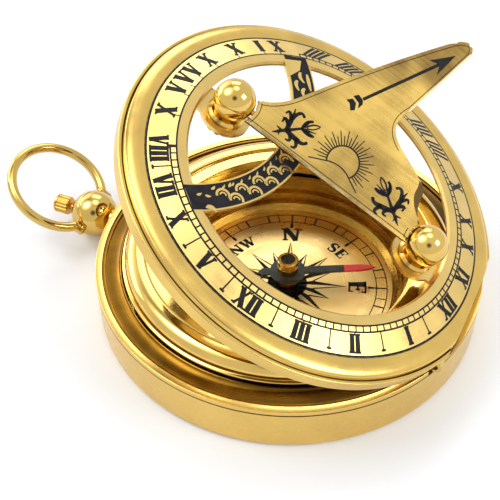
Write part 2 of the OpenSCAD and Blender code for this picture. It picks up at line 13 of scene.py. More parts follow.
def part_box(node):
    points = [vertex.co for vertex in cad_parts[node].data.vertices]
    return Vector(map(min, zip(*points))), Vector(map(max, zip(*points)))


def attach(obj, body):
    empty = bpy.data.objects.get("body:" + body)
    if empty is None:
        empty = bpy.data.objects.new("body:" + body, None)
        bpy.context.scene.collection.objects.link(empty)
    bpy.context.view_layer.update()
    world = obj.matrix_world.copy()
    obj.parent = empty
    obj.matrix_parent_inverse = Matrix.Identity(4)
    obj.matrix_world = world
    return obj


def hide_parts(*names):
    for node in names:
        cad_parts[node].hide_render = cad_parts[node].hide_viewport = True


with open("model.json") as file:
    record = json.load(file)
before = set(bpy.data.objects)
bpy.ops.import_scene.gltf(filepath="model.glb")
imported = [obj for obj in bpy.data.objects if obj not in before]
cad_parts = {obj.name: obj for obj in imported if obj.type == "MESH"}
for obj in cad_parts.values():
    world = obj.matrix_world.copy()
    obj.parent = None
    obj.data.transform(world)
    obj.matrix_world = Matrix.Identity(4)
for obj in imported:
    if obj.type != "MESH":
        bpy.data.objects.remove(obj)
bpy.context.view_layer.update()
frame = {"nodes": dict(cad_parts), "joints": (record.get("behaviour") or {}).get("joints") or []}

bl_info = {
    "name": "Pocket sundial compass",
    "version": (1, 0, 0),
    "blender": (4, 5, 0),
    "location": "View3D > Sidebar > Sundial",
    "description": "Dresses a folding pocket sundial with a compass in its case",
    "category": "Add Mesh",
}

MM = 0.001
JOINTS = {joint["name"]: joint for joint in frame["joints"]}
LID_JOINT = JOINTS["lid_hinge"]
# The lid rests this far open, in degrees, because its lower limit is the shut position
LID_OPEN = -LID_JOINT["range_deg"][0]
HINGE = Vector(LID_JOINT["pos_m"]) / MM
GNOMON_PIVOT = Vector(JOINTS["gnomon_fold"]["pos_m"]) / MM
CASE_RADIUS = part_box("lower_case")[1].x / MM
CASE_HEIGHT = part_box("lower_case")[1].z / MM
# Faces that meet at more than this angle keep a sharp edge
SMOOTH_ANGLE = math.radians(24)
# Points closer than this, in millimetres, are joined
WELD = 1e-5
TURNED_SIDES = 288


def length(label, description, millimetres):
    """A size property: typed here in millimetres, held in metres."""
    return FloatProperty(name=label, description=description, default=millimetres * MM,
                         subtype="DISTANCE", unit="LENGTH")


def angle(label, description, degrees):
    """An angle property: typed here in degrees, held in radians."""
    return FloatProperty(name=label, description=description, default=math.radians(degrees),
                         subtype="ANGLE", unit="ROTATION")


def srgb(code):
    """Turns an sRGB hex value into linear red, green and blue."""
    channels = [int(code[i:i + 2], 16) / 255 for i in (0, 2, 4)]
    return tuple(c / 12.92 if c <= 0.04045 else ((c + 0.055) / 1.055) ** 2.4 for c in channels)


def colour(label, description, code):
    return FloatVectorProperty(name=label, description=description, default=srgb(code),
                               subtype="COLOR", size=3, min=0, max=1)


def in_mm(group):
    """The group's lengths as plain numbers in millimetres."""
    return SimpleNamespace(**{key: getattr(group, key) / MM for key in type(group).__annotations__})


# Sizes and colours


class CaseSizes(PropertyGroup):
    radius: length("Radius", "Outer radius of the case", CASE_RADIUS)
    height: length("Height", "Height of the case rim", CASE_HEIGHT)
    rim: length("Rim width", "Width of the flat rim", 1.1)
    floor: length("Floor", "Thickness of the case floor", 0.7)
    edge: length("Edge radius", "Radius of the rounded bottom edge", 0.9)
    shelf: length("Shelf width", "Width of the shelf under the seat ring", 0.7)
    seat_height: length("Seat height", "Height from the shelf to the rim", 1.55)
    band: length("Band width", "Width of the turned band inside the rim", 3.15)
    band_rise: length("Band rise", "Rise of the turned band towards the drum", 0.75)


class DrumSizes(PropertyGroup):
    radius: length("Radius", "Outer radius of the drum", 27.5)
    base_z: length("Base height", "Height of the drum's lower edge", 9.2)
    crest_z: length("Crest height", "Height of the drum's crest", 12.0)
    shoulder: length("Shoulder width", "Width of the polished shoulder", 2.55)
    crest: length("Crest width", "Width of the crest", 0.5)
    cove: length("Cove width", "Width of the hollow inside the crest", 0.95)
    ledge: length("Ledge width", "Width of the ledge round the well", 2.3)
    ledge_drop: length("Ledge drop", "Depth of the ledge below the crest", 0.5)
    glass_z: length("Glass height", "Height of the glass seat", 8.2)


class HingeSizes(PropertyGroup):
    barrel: length("Barrel radius", "Outer radius of the hinge barrel", 1.1)
    play: length("Play", "Gap round the turning knuckle", 0.25)
    middle: length("Middle knuckle", "Length of the lid's knuckle", 8.2)
    flat: length("Lid flat", "Distance from the hinge axis to the lid's flat cut", 0.6)
    leaf: length("Leaf", "Thickness of the lid knuckle's leaf", 1.1)


class LidSizes(PropertyGroup):
    bottom_z: length("Lower edge", "Height of the shut lid's lower edge", 9.05)
    bezel: length("Bezel width", "Width of the rounded bezel", 3.55)
    wall: length("Wall", "Thickness of the lid's wall", 1.05)
    step: length("Step drop", "Height from the step up to the hour dial", 1.05)
    dial_radius: length("Dial radius", "Outer radius of the hour dial", 28.4)
    dial_width: length("Dial width", "Width of the sloping hour dial", 4.45)
    dial_thickness: length("Dial thickness", "Thickness of the hour dial plate", 0.9)
    dial_rim_z: length("Dial rim height", "Height of the shut hour dial at its rim", 12.175)
    lip_z: length("Lip height", "Height of the catch's lip", 9.25)


class CompassSizes(PropertyGroup):
    dial_z: length("Dial height", "Height of the dial's face", 1.5)
    needle_z: length("Needle height", "Height of the needle's underside", 4.4)
    needle_thickness: length("Needle thickness", "Thickness of the needle", 0.35)
    needle_disc: length("Disc radius", "Radius of the needle's disc", 3.0)
    needle_hole: length("Hole radius", "Radius of the hole for the cap", 1.3)
    needle_long: length("Long arm", "From the centre to the red tip", 14.8)
    needle_short: length("Short arm", "From the centre to the other end", 5.0)
    needle_width: length("Arm width", "Width of the needle's arms", 1.5)
    red_from: length("Red part", "Distance from the centre at which the red starts", 9.6)


class GnomonSizes(PropertyGroup):
    thickness: length("Thickness", "Thickness of the plate", 1.3)
    reach: length("Length", "Distance from the pivot line to the tip", 30.1)
    foot: length("Foot", "Depth of the plate below the pivot line", 1.7)
    half: length("Half span", "Distance from the middle to a ball's centre", 18.15)
    clearance: length("Ball clearance", "Radius of the round cuts at the balls", 3.5)
    bevel: length("Bevel", "Width of the bevelled edge", 0.45)


class FinishColours(PropertyGroup):
    brass: colour("Brass", "Yellow brass, lacquered", "E4C06A")
    pale_brass: colour("Pale brass", "Silk-finished brass of the hour dial", "E8C87A")
    deep_brass: colour("Deep brass", "Machined brass in small parts", "D2A44E")
    blade_brass: colour("Gnomon brass", "Brushed brass of the gnomon", "DDBA66")
    # Painted shade: the seat band's darker base colour stands in for the shade between the lid, the rim and
    # the drum
    seat_brass: colour("Seat brass", "Darker turned brass between the rim and the drum, painted shade", "8E651E")
    old_brass: colour("Old brass", "Darkened brass in the hinge", "8A6526")
    # Painted shade: the bowl's darker base colour stands in for the shade inside the drum
    well_brass: colour("Bowl brass", "Darker brass round the dial, painted shade", "AC8034")
    # Painted shade: this dark colour goes on shadowed faces of the gnomon, the case's notch and line, and the
    # seat near the hinge
    side_brass: colour("Sawn brass", "Dark brass on sawn and shadowed faces, painted shade", "6E5630")
    # Painted highlight: the bevel's pale base colour stands in for its bright reflection
    edge_brass: colour("Bevel brass", "Bright brass on the gnomon's bevel, painted highlight", "F6E2A8")
    # Painted shade: the darker colour stands in for the shade under the lid
    under_brass: colour("Underside brass", "Dark brass under the lid, painted shade", "7A5820")
    card: colour("Dial", "Satin brass of the compass dial", "EECB88")
    enamel: colour("Enamel", "Black enamel in the engraving", "161518")
    red: colour("Red", "Red lacquer on the needle", "EE3A3C")
    agate: colour("Agate", "Dark stone in the needle's cap", "0E0E12")
    steel: colour("Steel", "Spring wire", "9C9A96")
    floor: colour("Floor", "Pale table", "F1F3F7")


class StageSettings(PropertyGroup):
    camera: FloatVectorProperty(name="Camera", description="Place of the camera", size=3,
                                default=(43.99 * MM, -106.04 * MM, 125.73 * MM),
                                subtype="TRANSLATION", unit="LENGTH")
    azimuth: angle("Azimuth", "Camera's turn round the axis", 25.7)
    elevation: angle("Elevation", "Camera's height above the table", 45.33)
    roll: angle("Roll", "Camera's turn about its own axis", -0.77)
    lens: FloatProperty(name="Lens", description="Focal length", default=70.8, subtype="DISTANCE_CAMERA")


GROUPS = {
    "sundial_case": CaseSizes, "sundial_drum": DrumSizes, "sundial_hinge": HingeSizes,
    "sundial_lid": LidSizes, "sundial_compass": CompassSizes, "sundial_gnomon": GnomonSizes,
    "sundial_colours": FinishColours, "sundial_stage": StageSettings,
}


# Placing


def spin(degrees, axis="Z"):
    return Matrix.Rotation(math.radians(degrees), 4, axis)


# How far the gnomon leans from the lid's plane at rest, in degrees
GNOMON_TILT = 28
# Directions of the pendant, the needle's red tip and the dial's N, counted from +X towards +Y
PENDANT_TURN = 182
NEEDLE_BEARING = 28
NORTH = 110.4
# Where a body's pieces stand at rest: they are drawn with the lid shut, the gnomon flat and the needle
# along +X
PLACES = {
    "lid": Matrix.Translation(HINGE) @ spin(LID_OPEN, "Y") @ Matrix.Translation(-HINGE),
    "gnomon": Matrix.Translation(GNOMON_PIVOT) @ spin(LID_OPEN, "Y") @ spin(GNOMON_TILT, "X"),
    "needle": spin(NEEDLE_BEARING),
}


def polar(radius, degrees):
    turn = math.radians(degrees)
    return Vector((radius * math.cos(turn), radius * math.sin(turn)))


# Outlines


def arc(x, y, rx, ry, start, end, steps=20):
    """Points along an elliptical arc, from start to end degrees."""
    points = []
    for i in range(steps + 1):
        a = math.radians(start + (end - start) * i / steps)
        points.append((x + rx * math.cos(a), y + ry * math.sin(a)))
    return points


def bend(a, b, c, steps=14):
    """Points along a curve that leaves a towards b and arrives at c from b."""
    a, b, c = Vector(a), Vector(b), Vector(c)
    points = []
    for i in range(steps + 1):
        t = i / steps
        points.append(tuple(a * (1 - t) ** 2 + b * 2 * t * (1 - t) + c * t * t))
    return points


def along(points, step):
    """The same open path with points about a step apart."""
    path = [Vector(points[0])]
    for point in points[1:]:
        start, end = path[-1].copy(), Vector(point)
        count = max(1, round((end - start).length / step))
        for i in range(1, count + 1):
            path.append(start.lerp(end, i / count))
    return path


def ribbon(points, widths):
    """The outline of a stroke along points, with its own width at each."""
    points = [Vector(p) for p in points]
    left, right = [], []
    for i, point in enumerate(points):
        ahead = points[min(i + 1, len(points) - 1)] - points[max(i - 1, 0)]
        side = Vector((-ahead.y, ahead.x)).normalized() * widths[i] / 2
        left.append(tuple(point + side))
        right.append(tuple(point - side))
    return left + right[::-1]


def stroke(a, b, width, end_width=None):
    """The outline of a straight stroke, which may taper."""
    return ribbon([a, b], [width, width if end_width is None else end_width])


def spoke(inner, outer, degrees, width, end_width=None):
    """The outline of a straight stroke between two radii."""
    return stroke(polar(inner, degrees), polar(outer, degrees), width, end_width)


def leaf(root, degrees, reach, width, curl):
    """A pointed leaf from its root, bent to one side by curl degrees."""
    spine, widths, steps = [], [], 9
    point = Vector(root)
    for i in range(steps + 1):
        t = i / steps
        spine.append(point)
        widths.append(max(width * math.sin(math.pi * t ** 0.75), 0.02))
        point = point + polar(1, degrees + curl * t) * reach / steps
    return ribbon(spine, widths)


def border(outline, near, far):
    """A thin line inside a closed outline, between two distances from it, as short four-sided pieces."""
    points = [Vector(p) for p in outline]
    around = sum(a.cross(b) for a, b in zip(points, points[1:] + points[:1]))
    inward = math.copysign(1, around)
    sides = []
    for i, point in enumerate(points):
        way = points[(i + 1) % len(points)] - points[i - 1]
        normal = Vector((-way.y, way.x)).normalized() * inward
        sides.append((tuple(point + normal * near), tuple(point + normal * far)))
    return [[a[0], b[0], b[1], a[1]] for a, b in zip(sides, sides[1:] + sides[:1])]


def spot(centre, radius, steps=16):
    """A round dot."""
    return arc(*centre, radius, radius, 0, 360 - 360 / steps, steps - 1)


# Meshes


def new_object(name, data):
    made = bpy.data.objects.new(name, data)
    bpy.context.scene.collection.objects.link(made)
    return made


def new_mesh(name, bm):
    mesh = bpy.data.meshes.new(name)
    bm.to_mesh(mesh)
    bm.free()
    return mesh


def second_finish(bm, test, index=1):
    """Gives the faces that pass a test of their normal and middle another of the piece's materials."""
    bmesh.ops.recalc_face_normals(bm, faces=bm.faces)
    for face in bm.faces:
        if test(face.normal, face.calc_center_median()):
            face.material_index = index


def finish_piece(name, bm, finish, body, node=None, more=()):
    """Makes an object from a mesh in millimetres, and lets it ride on a body. More is its other finishes."""
    bmesh.ops.remove_doubles(bm, verts=bm.verts, dist=WELD)
    bmesh.ops.recalc_face_normals(bm, faces=bm.faces)
    if body in PLACES:
        bm.transform(PLACES[body])
    bm.transform(Matrix.Scale(MM, 4))
    piece = new_object(name, new_mesh(name, bm))
    for each in (finish, *more):
        piece.data.materials.append(material_for(each))
    piece.data.shade_smooth()
    piece.data.set_sharp_from_angle(angle=SMOOTH_ANGLE)
    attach(piece, body)
    if node:
        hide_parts(node)


def skin(bm, loops, closed=True):
    """Faces from each loop of points to the next, and over both ends where the loops don't close."""
    for here, there in zip(loops, loops[1:] + (loops[:1] if closed else [])):
        for j in range(len(here)):
            k = (j + 1) % len(here)
            bm.faces.new((here[j], there[j], there[k], here[k]))
    if not closed:
        bm.faces.new(loops[0])
        bm.faces.new(loops[-1][::-1])


def turned(profile):
    """A closed solid of revolution about Z. The profile holds (radius, height) points."""
    bm = bmesh.new()
    rings = []
    for i in range(TURNED_SIDES):
        a = 2 * math.pi * i / TURNED_SIDES
        rings.append([bm.verts.new((r * math.cos(a), r * math.sin(a), z)) for r, z in profile])
    skin(bm, rings)
    bmesh.ops.remove_doubles(bm, verts=bm.verts, dist=WELD)
    return bm


def slab(outlines, low, high, bm=None):
    """Closed flat pieces between two heights, one for each outline."""
    bm = bm or bmesh.new()
    for outline in outlines:
        floor = [bm.verts.new((x, y, low)) for x, y in outline]
        roof = [bm.verts.new((x, y, high)) for x, y in outline]
        bm.faces.new(floor[::-1])
        bm.faces.new(roof)
        for i in range(len(outline)):
            j = (i + 1) % len(outline)
            bm.faces.new((floor[i], floor[j], roof[j], roof[i]))
    return bm


def hoop(bm, inner, outer, low, high, start=0.0, end=360.0):
    """A flat ring, or a stretch of one, between two radii and two heights."""
    spacing = 1.25
    count = max(2, round((end - start) / spacing))
    closed = end - start == 360
    loops = []
    for i in range(count if closed else count + 1):
        a = start + (end - start) * i / count
        near, far = polar(inner, a), polar(outer, a)
        corners = ((near, low), (far, low), (far, high), (near, high))
        loops.append([bm.verts.new((*point, z)) for point, z in corners])
    skin(bm, loops, closed)


def block(low, high):
    bm = bmesh.new()
    bmesh.ops.create_cube(bm, size=1)
    low, high = Vector(low), Vector(high)
    size = high - low
    bm.transform(Matrix.Translation((low + high) / 2) @ Matrix.Diagonal((*size, 1)))
    return bm


def rod(start, end, radius):
    """A round bar between two points."""
    start, end = Vector(start), Vector(end)
    bm = bmesh.new()
    bmesh.ops.create_cone(bm, cap_ends=True, segments=64, radius1=radius, radius2=radius,
                          depth=(end - start).length)
    turn = Vector((0, 0, 1)).rotation_difference(end - start).to_matrix().to_4x4()
    bm.transform(Matrix.Translation((start + end) / 2) @ turn)
    return bm


def combine(bm, other, operation="DIFFERENCE"):
    """Cuts one mesh from another or joins them, and returns the result."""
    things = []
    for source in (bm, other):
        bmesh.ops.recalc_face_normals(source, faces=source.faces)
        things.append(new_object("cut", new_mesh("cut", source)))
    target, cutter = things
    modifier = target.modifiers.new("cut", "BOOLEAN")
    modifier.operation = operation
    modifier.solver = "EXACT"
    modifier.object = cutter
    evaluated = target.evaluated_get(bpy.context.evaluated_depsgraph_get())
    result = bmesh.new()
    result.from_mesh(evaluated.to_mesh())
    evaluated.to_mesh_clear()
    for thing in things:
        mesh = thing.data
        bpy.data.objects.remove(thing)
        bpy.data.meshes.remove(mesh)
    return result


def cut(bm, cutters):
    for cutter in cutters:
        bm = combine(bm, cutter)
    return bm


def wrap_on(bm, height_at):
    """Lays a flat piece, whose z is its height above a surface, onto that surface."""
    for vert in bm.verts:
        vert.co.z += height_at(math.hypot(vert.co.x, vert.co.y))
    return bm


# Materials


def feed(tree, node, inputs):
    """Sets a node's inputs, and links those whose value is another node's output."""
    for key, value in inputs.items():
        if isinstance(value, bpy.types.NodeSocket):
            tree.links.new(value, node.inputs[key])
        else:
            node.inputs[key].default_value = value


def add(tree, kind, inputs=None, output=0, **settings):
    """Adds a shader node, sets its settings, sets or links its inputs, and returns one of its outputs."""
    made = tree.nodes.new("ShaderNode" + kind)
    for key, value in settings.items():
        setattr(made, key, value)
    feed(tree, made, inputs or {})
    return made.outputs[output]


def new_material(name):
    material = bpy.data.materials.new(name)
    material.use_nodes = True
    tree = material.node_tree
    return material, tree, tree.nodes["Principled BSDF"]


def own_place(tree, carrier="case"):
    """Object coordinates in millimetres, brought back to the shut lid or the flat gnomon."""
    turns = {"lid": [("Y_AXIS", LID_OPEN)], "gnomon": [("Y_AXIS", LID_OPEN), ("X_AXIS", GNOMON_TILT)]}
    centre = HINGE if carrier == "lid" else GNOMON_PIVOT
    place = add(tree, "TexCoord", output="Object")
    place = add(tree, "VectorMath", {0: place, "Scale": 1 / MM}, operation="SCALE")
    for axis, degrees in turns.get(carrier, ()):
        turn = {"Vector": place, "Center": centre, "Angle": math.radians(-degrees)}
        place = add(tree, "VectorRotate", turn, rotation_type=axis)
    return place


def lathe_marks(tree, place, pitch):
    """Fine rings about the axis, as a turning tool leaves them, pitch millimetres apart."""
    x, y, z = add(tree, "SeparateXYZ", {0: place}).node.outputs
    flat = add(tree, "CombineXYZ", {0: x, 1: y})
    radius = add(tree, "VectorMath", {0: flat}, "Value", operation="LENGTH")
    turn = add(tree, "Math", {0: y, 1: x}, operation="ARCTAN2")
    slow_turn = add(tree, "Math", {0: turn, 1: pitch}, operation="MULTIPLY")
    vector = add(tree, "CombineXYZ", {0: radius, 1: z, 2: slow_turn})
    return add(tree, "TexNoise", {"Vector": vector, "Scale": 1 / pitch, "Detail": 3.0, "Roughness": 0.6})


def brush_marks(tree, place):
    """Streaks 0.4 mm wide and 9 mm long, coarser than real brushing so that they show."""
    stretched = add(tree, "Mapping", {"Vector": place, "Scale": (1 / 9.0, 1 / 0.4, 1.0),
                                      "Rotation": (0, 0, math.radians(-14))})
    return add(tree, "TexNoise", {"Vector": stretched, "Scale": 1.0, "Detail": 2.0})


def round_tangent(tree, carrier):
    """The direction round the turning axis, which stretches highlights across the rings."""
    matrix = PLACES.get(carrier, Matrix.Identity(4))
    axis = matrix.to_3x3() @ Vector((0, 0, 1))
    place = add(tree, "TexCoord", output="Object")
    arm = add(tree, "VectorMath", {0: place, 1: matrix.translation * MM}, operation="SUBTRACT")
    around = add(tree, "VectorMath", {0: axis, 1: arm}, operation="CROSS_PRODUCT")
    world = add(tree, "VectorTransform", {0: around}, vector_type="VECTOR", convert_from="OBJECT",
                convert_to="WORLD")
    return add(tree, "VectorMath", {0: world}, operation="NORMALIZE")


def uneven(tree, place, size, span=(0, 1), to=(0, 1), detail=3.0):
    """Blotches about size millimetres across, as a value whose span is stretched to the range to."""
    noise = add(tree, "TexNoise", {"Vector": place, "Scale": 1 / size, "Detail": detail})
    return add(tree, "MapRange", {"Value": noise, "From Min": span[0], "From Max": span[1],
                                  "To Min": to[0], "To Max": to[1]})


def mottled(tree, place, size, first, second, span=(0, 1)):
    """Two tones in soft blotches about size millimetres across."""
    factor = uneven(tree, place, size, span)
    return add(tree, "Mix", {"Factor": factor, "A": (*first, 1), "B": (*second, 1)}, "Result",
               data_type="RGBA")


def scaled(colour_value, amount):
    """The same colour, darker or lighter."""
    return tuple(min(1, c * amount) for c in colour_value)


def hinge_painted_shade(tree, place):
    """Painted shade that darkens towards the hinge: its amount and colour."""
    across = add(tree, "SeparateXYZ", {0: place}, "X")
    amount = add(tree, "MapRange", {"Value": across, "From Min": -4.0, "From Max": 24.0, "To Max": 0.8})
    return amount, "3C2A12"


def tip_painted_shade(tree, place):
    """Painted shade in cloudy patches that grows towards the gnomon's tip: its amount and colour."""
    offset = add(tree, "VectorMath", {0: place, 1: GNOMON_PIVOT}, operation="SUBTRACT")
    up_the_plate = add(tree, "SeparateXYZ", {0: offset}, "Y")
    growth = add(tree, "MapRange", {"Value": up_the_plate, "From Min": 3.0, "From Max": 30.0, "To Max": 0.5})
    clouds = uneven(tree, place, 11.0, (0.4, 0.62), (-0.2, 0.55), 2.0)
    return add(tree, "Math", {0: growth, 1: clouds}, operation="ADD", use_clamp=True), "7E6437"


def brass(name, base, gloss, marks, mark_depth, carrier="case", pitch=0.16, worn=0.06, tones=(0.86, 1.06),
          sheen=0.0, stains=None):
    """Yellow brass, in the colour of the property that base names. Gloss is the roughness of its smoothest
    and roughest spots, and worn is what smears add. Tones are its darkest and lightest shares of the base
    colour. Sheen draws highlights across the rings."""
    material, tree, shader = new_material(name)
    place = own_place(tree, carrier)
    base = getattr(palette(), base)
    # Sizes in millimetres of the blotches in the colour, of the smears and of the cloudy marks
    blotch, smudge, grain = 7.0, 3.0, 0.9
    colour_now = mottled(tree, place, blotch, scaled(base, tones[0]), scaled(base, tones[1]), (0.3, 0.7))
    # Painted shade, mixed over the colour as much as the given function asks
    if stains:
        amount, code = stains(tree, place)
        colour_now = add(tree, "Mix", {"Factor": amount, "A": colour_now, "B": (*srgb(code), 1)}, "Result",
                         data_type="RGBA")
    if sheen:
        feed(tree, shader, {"Anisotropic": sheen, "Tangent": round_tangent(tree, carrier)})
    if marks == "turned":
        lines = lathe_marks(tree, place, pitch)
    elif marks == "brushed":
        lines = brush_marks(tree, place)
    else:
        lines = uneven(tree, place, grain, detail=4.0)
    rough = add(tree, "MapRange", {"Value": lines, "From Min": 0.25, "From Max": 0.75,
                                   "To Min": gloss[0], "To Max": gloss[1]})
    smear = uneven(tree, place, smudge, (0.35, 0.7), (-worn / 2, worn))
    feed(tree, shader, {
        "Base Color": colour_now, "Metallic": 1.0,
        "Roughness": add(tree, "Math", {0: rough, 1: smear}, operation="ADD"),
        "Normal": add(tree, "Bump", {"Height": lines, "Distance": mark_depth * MM}),
    })
    return material


# Each brass: its slot in the record, its name, its colour property, the roughness of its smoothest and
# roughest spots, its marks, how deep they are in millimetres, and the other settings of brass()
BRASSES = {
    # Lacquered brass, turned and then satined: broad soft highlights with fine rings
    "satin": ("satin_brass", "satin brass, turned", "brass", (0.2, 0.3), "turned", 0.0005,
              {"pitch": 0.5, "worn": 0.03, "tones": (0.93, 1.04)}),
    # Lacquered brass with a fine satin on the lid's rounded rim
    "bezel": ("bezel_brass", "satin brass, lid rim", "brass", (0.15, 0.26), "turned", 0.0008,
              {"carrier": "lid", "pitch": 0.5, "sheen": 0.4}),
    # Brass straight off the lathe: visible rings and a tighter highlight
    "turned": ("turned_brass", "turned brass", "brass", (0.16, 0.3), "turned", 0.0014,
               {"pitch": 0.4, "sheen": 0.4}),
    # Turned brass between the rim and the drum: darker yellow as painted shade, with rings, and more painted
    # shade towards the hinge
    "seat": ("turned_brass", "turned brass, stained", "seat_brass", (0.2, 0.36), "turned", 0.002,
             {"pitch": 0.35, "tones": (0.62, 1.1), "sheen": 0.5, "stains": hinge_painted_shade}),
    # The bowl and the spacer round the dial, turned: deep brown gold as painted shade, with coarse rings
    "well": ("turned_brass", "turned brass, aged, bowl", "well_brass", (0.18, 0.34), "turned", 0.002,
             {"pitch": 0.45, "tones": (0.75, 1.1), "sheen": 0.5}),
    # Buffed brass: nearly a mirror, with faint smears
    "polished": ("polished_brass", "polished brass, buffed", "brass", (0.07, 0.13), "turned", 0.0004, {}),
    # Tumble-polished brass on the pendant's ball and the bow: clear reflections, a few dull spots
    "mirror": ("mirror_brass", "mirror brass, polished", "brass", (0.03, 0.09), "cloudy", 0.0004,
               {"worn": 0.04, "tones": (0.74, 0.912)}),
    # The same polish on the gnomon's balls and their collars, brighter
    "collar": ("mirror_brass", "mirror brass, collar", "brass", (0.04, 0.1), "cloudy", 0.0004,
               {"carrier": "lid"}),
    # Silk-finished pale brass round the hour figures
    "hour": ("dial_brass", "silk brass, hour dial", "pale_brass", (0.24, 0.34), "turned", 0.0006,
             {"carrier": "lid", "pitch": 0.6, "tones": (0.88, 1.05), "sheen": 0.5}),
    # Brushed brass along the gnomon: streaks, a soft sheen, and painted shade in cloudy patches that grows
    # towards the tip
    "blade": ("brushed_brass", "brushed brass, gnomon", "blade_brass", (0.2, 0.36), "brushed", 0.0008,
              {"carrier": "gnomon", "tones": (0.9, 1.04), "stains": tip_painted_shade}),
    # Sawn and shadowed faces: dark as painted shade, unpolished and dull
    "side": ("dark_brass", "aged brass, sawn edge", "side_brass", (0.35, 0.5), "cloudy", 0.002,
             {"carrier": "gnomon"}),
    # The gnomon's bevel: a painted highlight, a bright line round the plate
    "edge": ("polished_brass", "polished brass, bevel", "edge_brass", (0.12, 0.22), "cloudy", 0.0004,
             {"carrier": "gnomon"}),
    # The lid's underside, painted dark as the shade where it sits over the drum
    "under": ("dark_brass", "aged brass, lid underside", "under_brass", (0.24, 0.4), "turned", 0.001,
              {"carrier": "lid", "pitch": 0.5}),
    # Small machined parts: deeper yellow and a sharper shine
    "machined": ("screw_brass", "machined brass", "deep_brass", (0.12, 0.24), "cloudy", 0.0008, {}),
    # Darker brass in the hinge and the catch
    "old": ("dark_brass", "aged brass", "old_brass", (0.25, 0.42), "cloudy", 0.002, {}),
    # The compass dial: pale satin brass with concentric turning lines
    "card": ("dial_brass", "satin brass, compass dial", "card", (0.24, 0.36), "turned", 0.0010,
             {"pitch": 0.9, "tones": (0.94, 1.03), "sheen": 0.7}),
}


def clear_glass():
    # Flat mineral glass: nearly no colour, and faint dust in the roughness. Its IOR is below real glass's, so
    # that reflections don't hide the dial
    material, tree, shader = new_material("mineral glass, polished")
    feed(tree, shader, {"Base Color": (*srgb("FBFDFA"), 1), "Transmission Weight": 1.0, "IOR": 1.02,
                        "Roughness": uneven(tree, own_place(tree), 4.0, (0.4, 0.8), (0.0, 0.02))})
    return material


def black_enamel():
    # Black enamel fired or rubbed into the engraving: slightly uneven, with a soft shine
    material, tree, shader = new_material("black enamel, fired")
    place, base = own_place(tree), palette().enamel
    feed(tree, shader, {"Base Color": mottled(tree, place, 1.5, base, scaled(base, 2.2), (0.35, 0.7)),
                        "Specular IOR Level": 0.15,
                        "Roughness": uneven(tree, place, 0.6, (0.3, 0.7), (0.35, 0.55))})
    return material


def needle_paint():
    # Gloss paint on a steel needle: black, with red lacquer from a sharp line to the tip
    material, tree, shader = new_material("gloss paint, needle")
    place, lacquer = own_place(tree), palette().red
    red_from = in_mm(bpy.context.scene.sundial_compass).red_from
    aim = Vector((*polar(1, NEEDLE_BEARING), 0))
    reach = add(tree, "VectorMath", {0: place, 1: aim}, "Value", operation="DOT_PRODUCT")
    is_red = add(tree, "Math", {0: reach, 1: red_from}, operation="GREATER_THAN")
    black = mottled(tree, place, 1.2, srgb("1C1E20"), srgb("2B2E31"))
    red = mottled(tree, place, 1.2, lacquer, scaled(lacquer, 0.82))
    painted = add(tree, "Mix", {"Factor": is_red, "A": black, "B": red}, "Result", data_type="RGBA")
    feed(tree, shader, {"Base Color": painted,
                        "Roughness": uneven(tree, place, 1.2, (0.3, 0.7), (0.28, 0.4))})
    return material


def black_agate():
    # Polished dark stone that holds the needle's bearing
    material, tree, shader = new_material("agate, polished")
    place = own_place(tree)
    feed(tree, shader, {"Base Color": mottled(tree, place, 0.7, palette().agate, srgb("24242C")),
                        "Roughness": uneven(tree, place, 0.5, (0.3, 0.7), (0.08, 0.2))})
    return material


def spring_steel():
    # Drawn spring wire: grey, with a fine shine along it
    material, tree, shader = new_material("spring steel, drawn")
    place, base = own_place(tree), palette().steel
    feed(tree, shader, {"Base Color": mottled(tree, place, 0.4, base, scaled(base, 0.7)), "Metallic": 1.0,
                        "Roughness": uneven(tree, place, 0.3, (0.3, 0.7), (0.2, 0.35))})
    return material


# Each finish: its slot in the record and, past the brasses, the function that makes it
FINISHES = {
    **BRASSES,
    "glass": ("clear_glass", clear_glass), "enamel": ("blued_steel", black_enamel),
    "needle": ("blued_steel", needle_paint), "agate": ("black_agate", black_agate),
    "spring": ("spring_steel", spring_steel),
}
MADE = {}


def palette():
    group = bpy.context.scene.sundial_colours
    return SimpleNamespace(**{key: tuple(getattr(group, key)) for key in type(group).__annotations__})


def material_for(finish):
    """The material of a finish, made at its first use."""
    if finish not in MADE:
        if finish in BRASSES:
            _, *details, settings = BRASSES[finish]
            MADE[finish] = brass(*details, **settings)
        else:
            MADE[finish] = FINISHES[finish][1]()
    return MADE[finish]


def dress(node, finish):
    """Gives a carried-over node its material, and leaves its mesh alone."""
    for place in frame["nodes"][node].material_slots:
        place.material = material_for(finish)


# Figures and letters

THICK = 0.28
THIN = 0.105
SERIF = 0.11
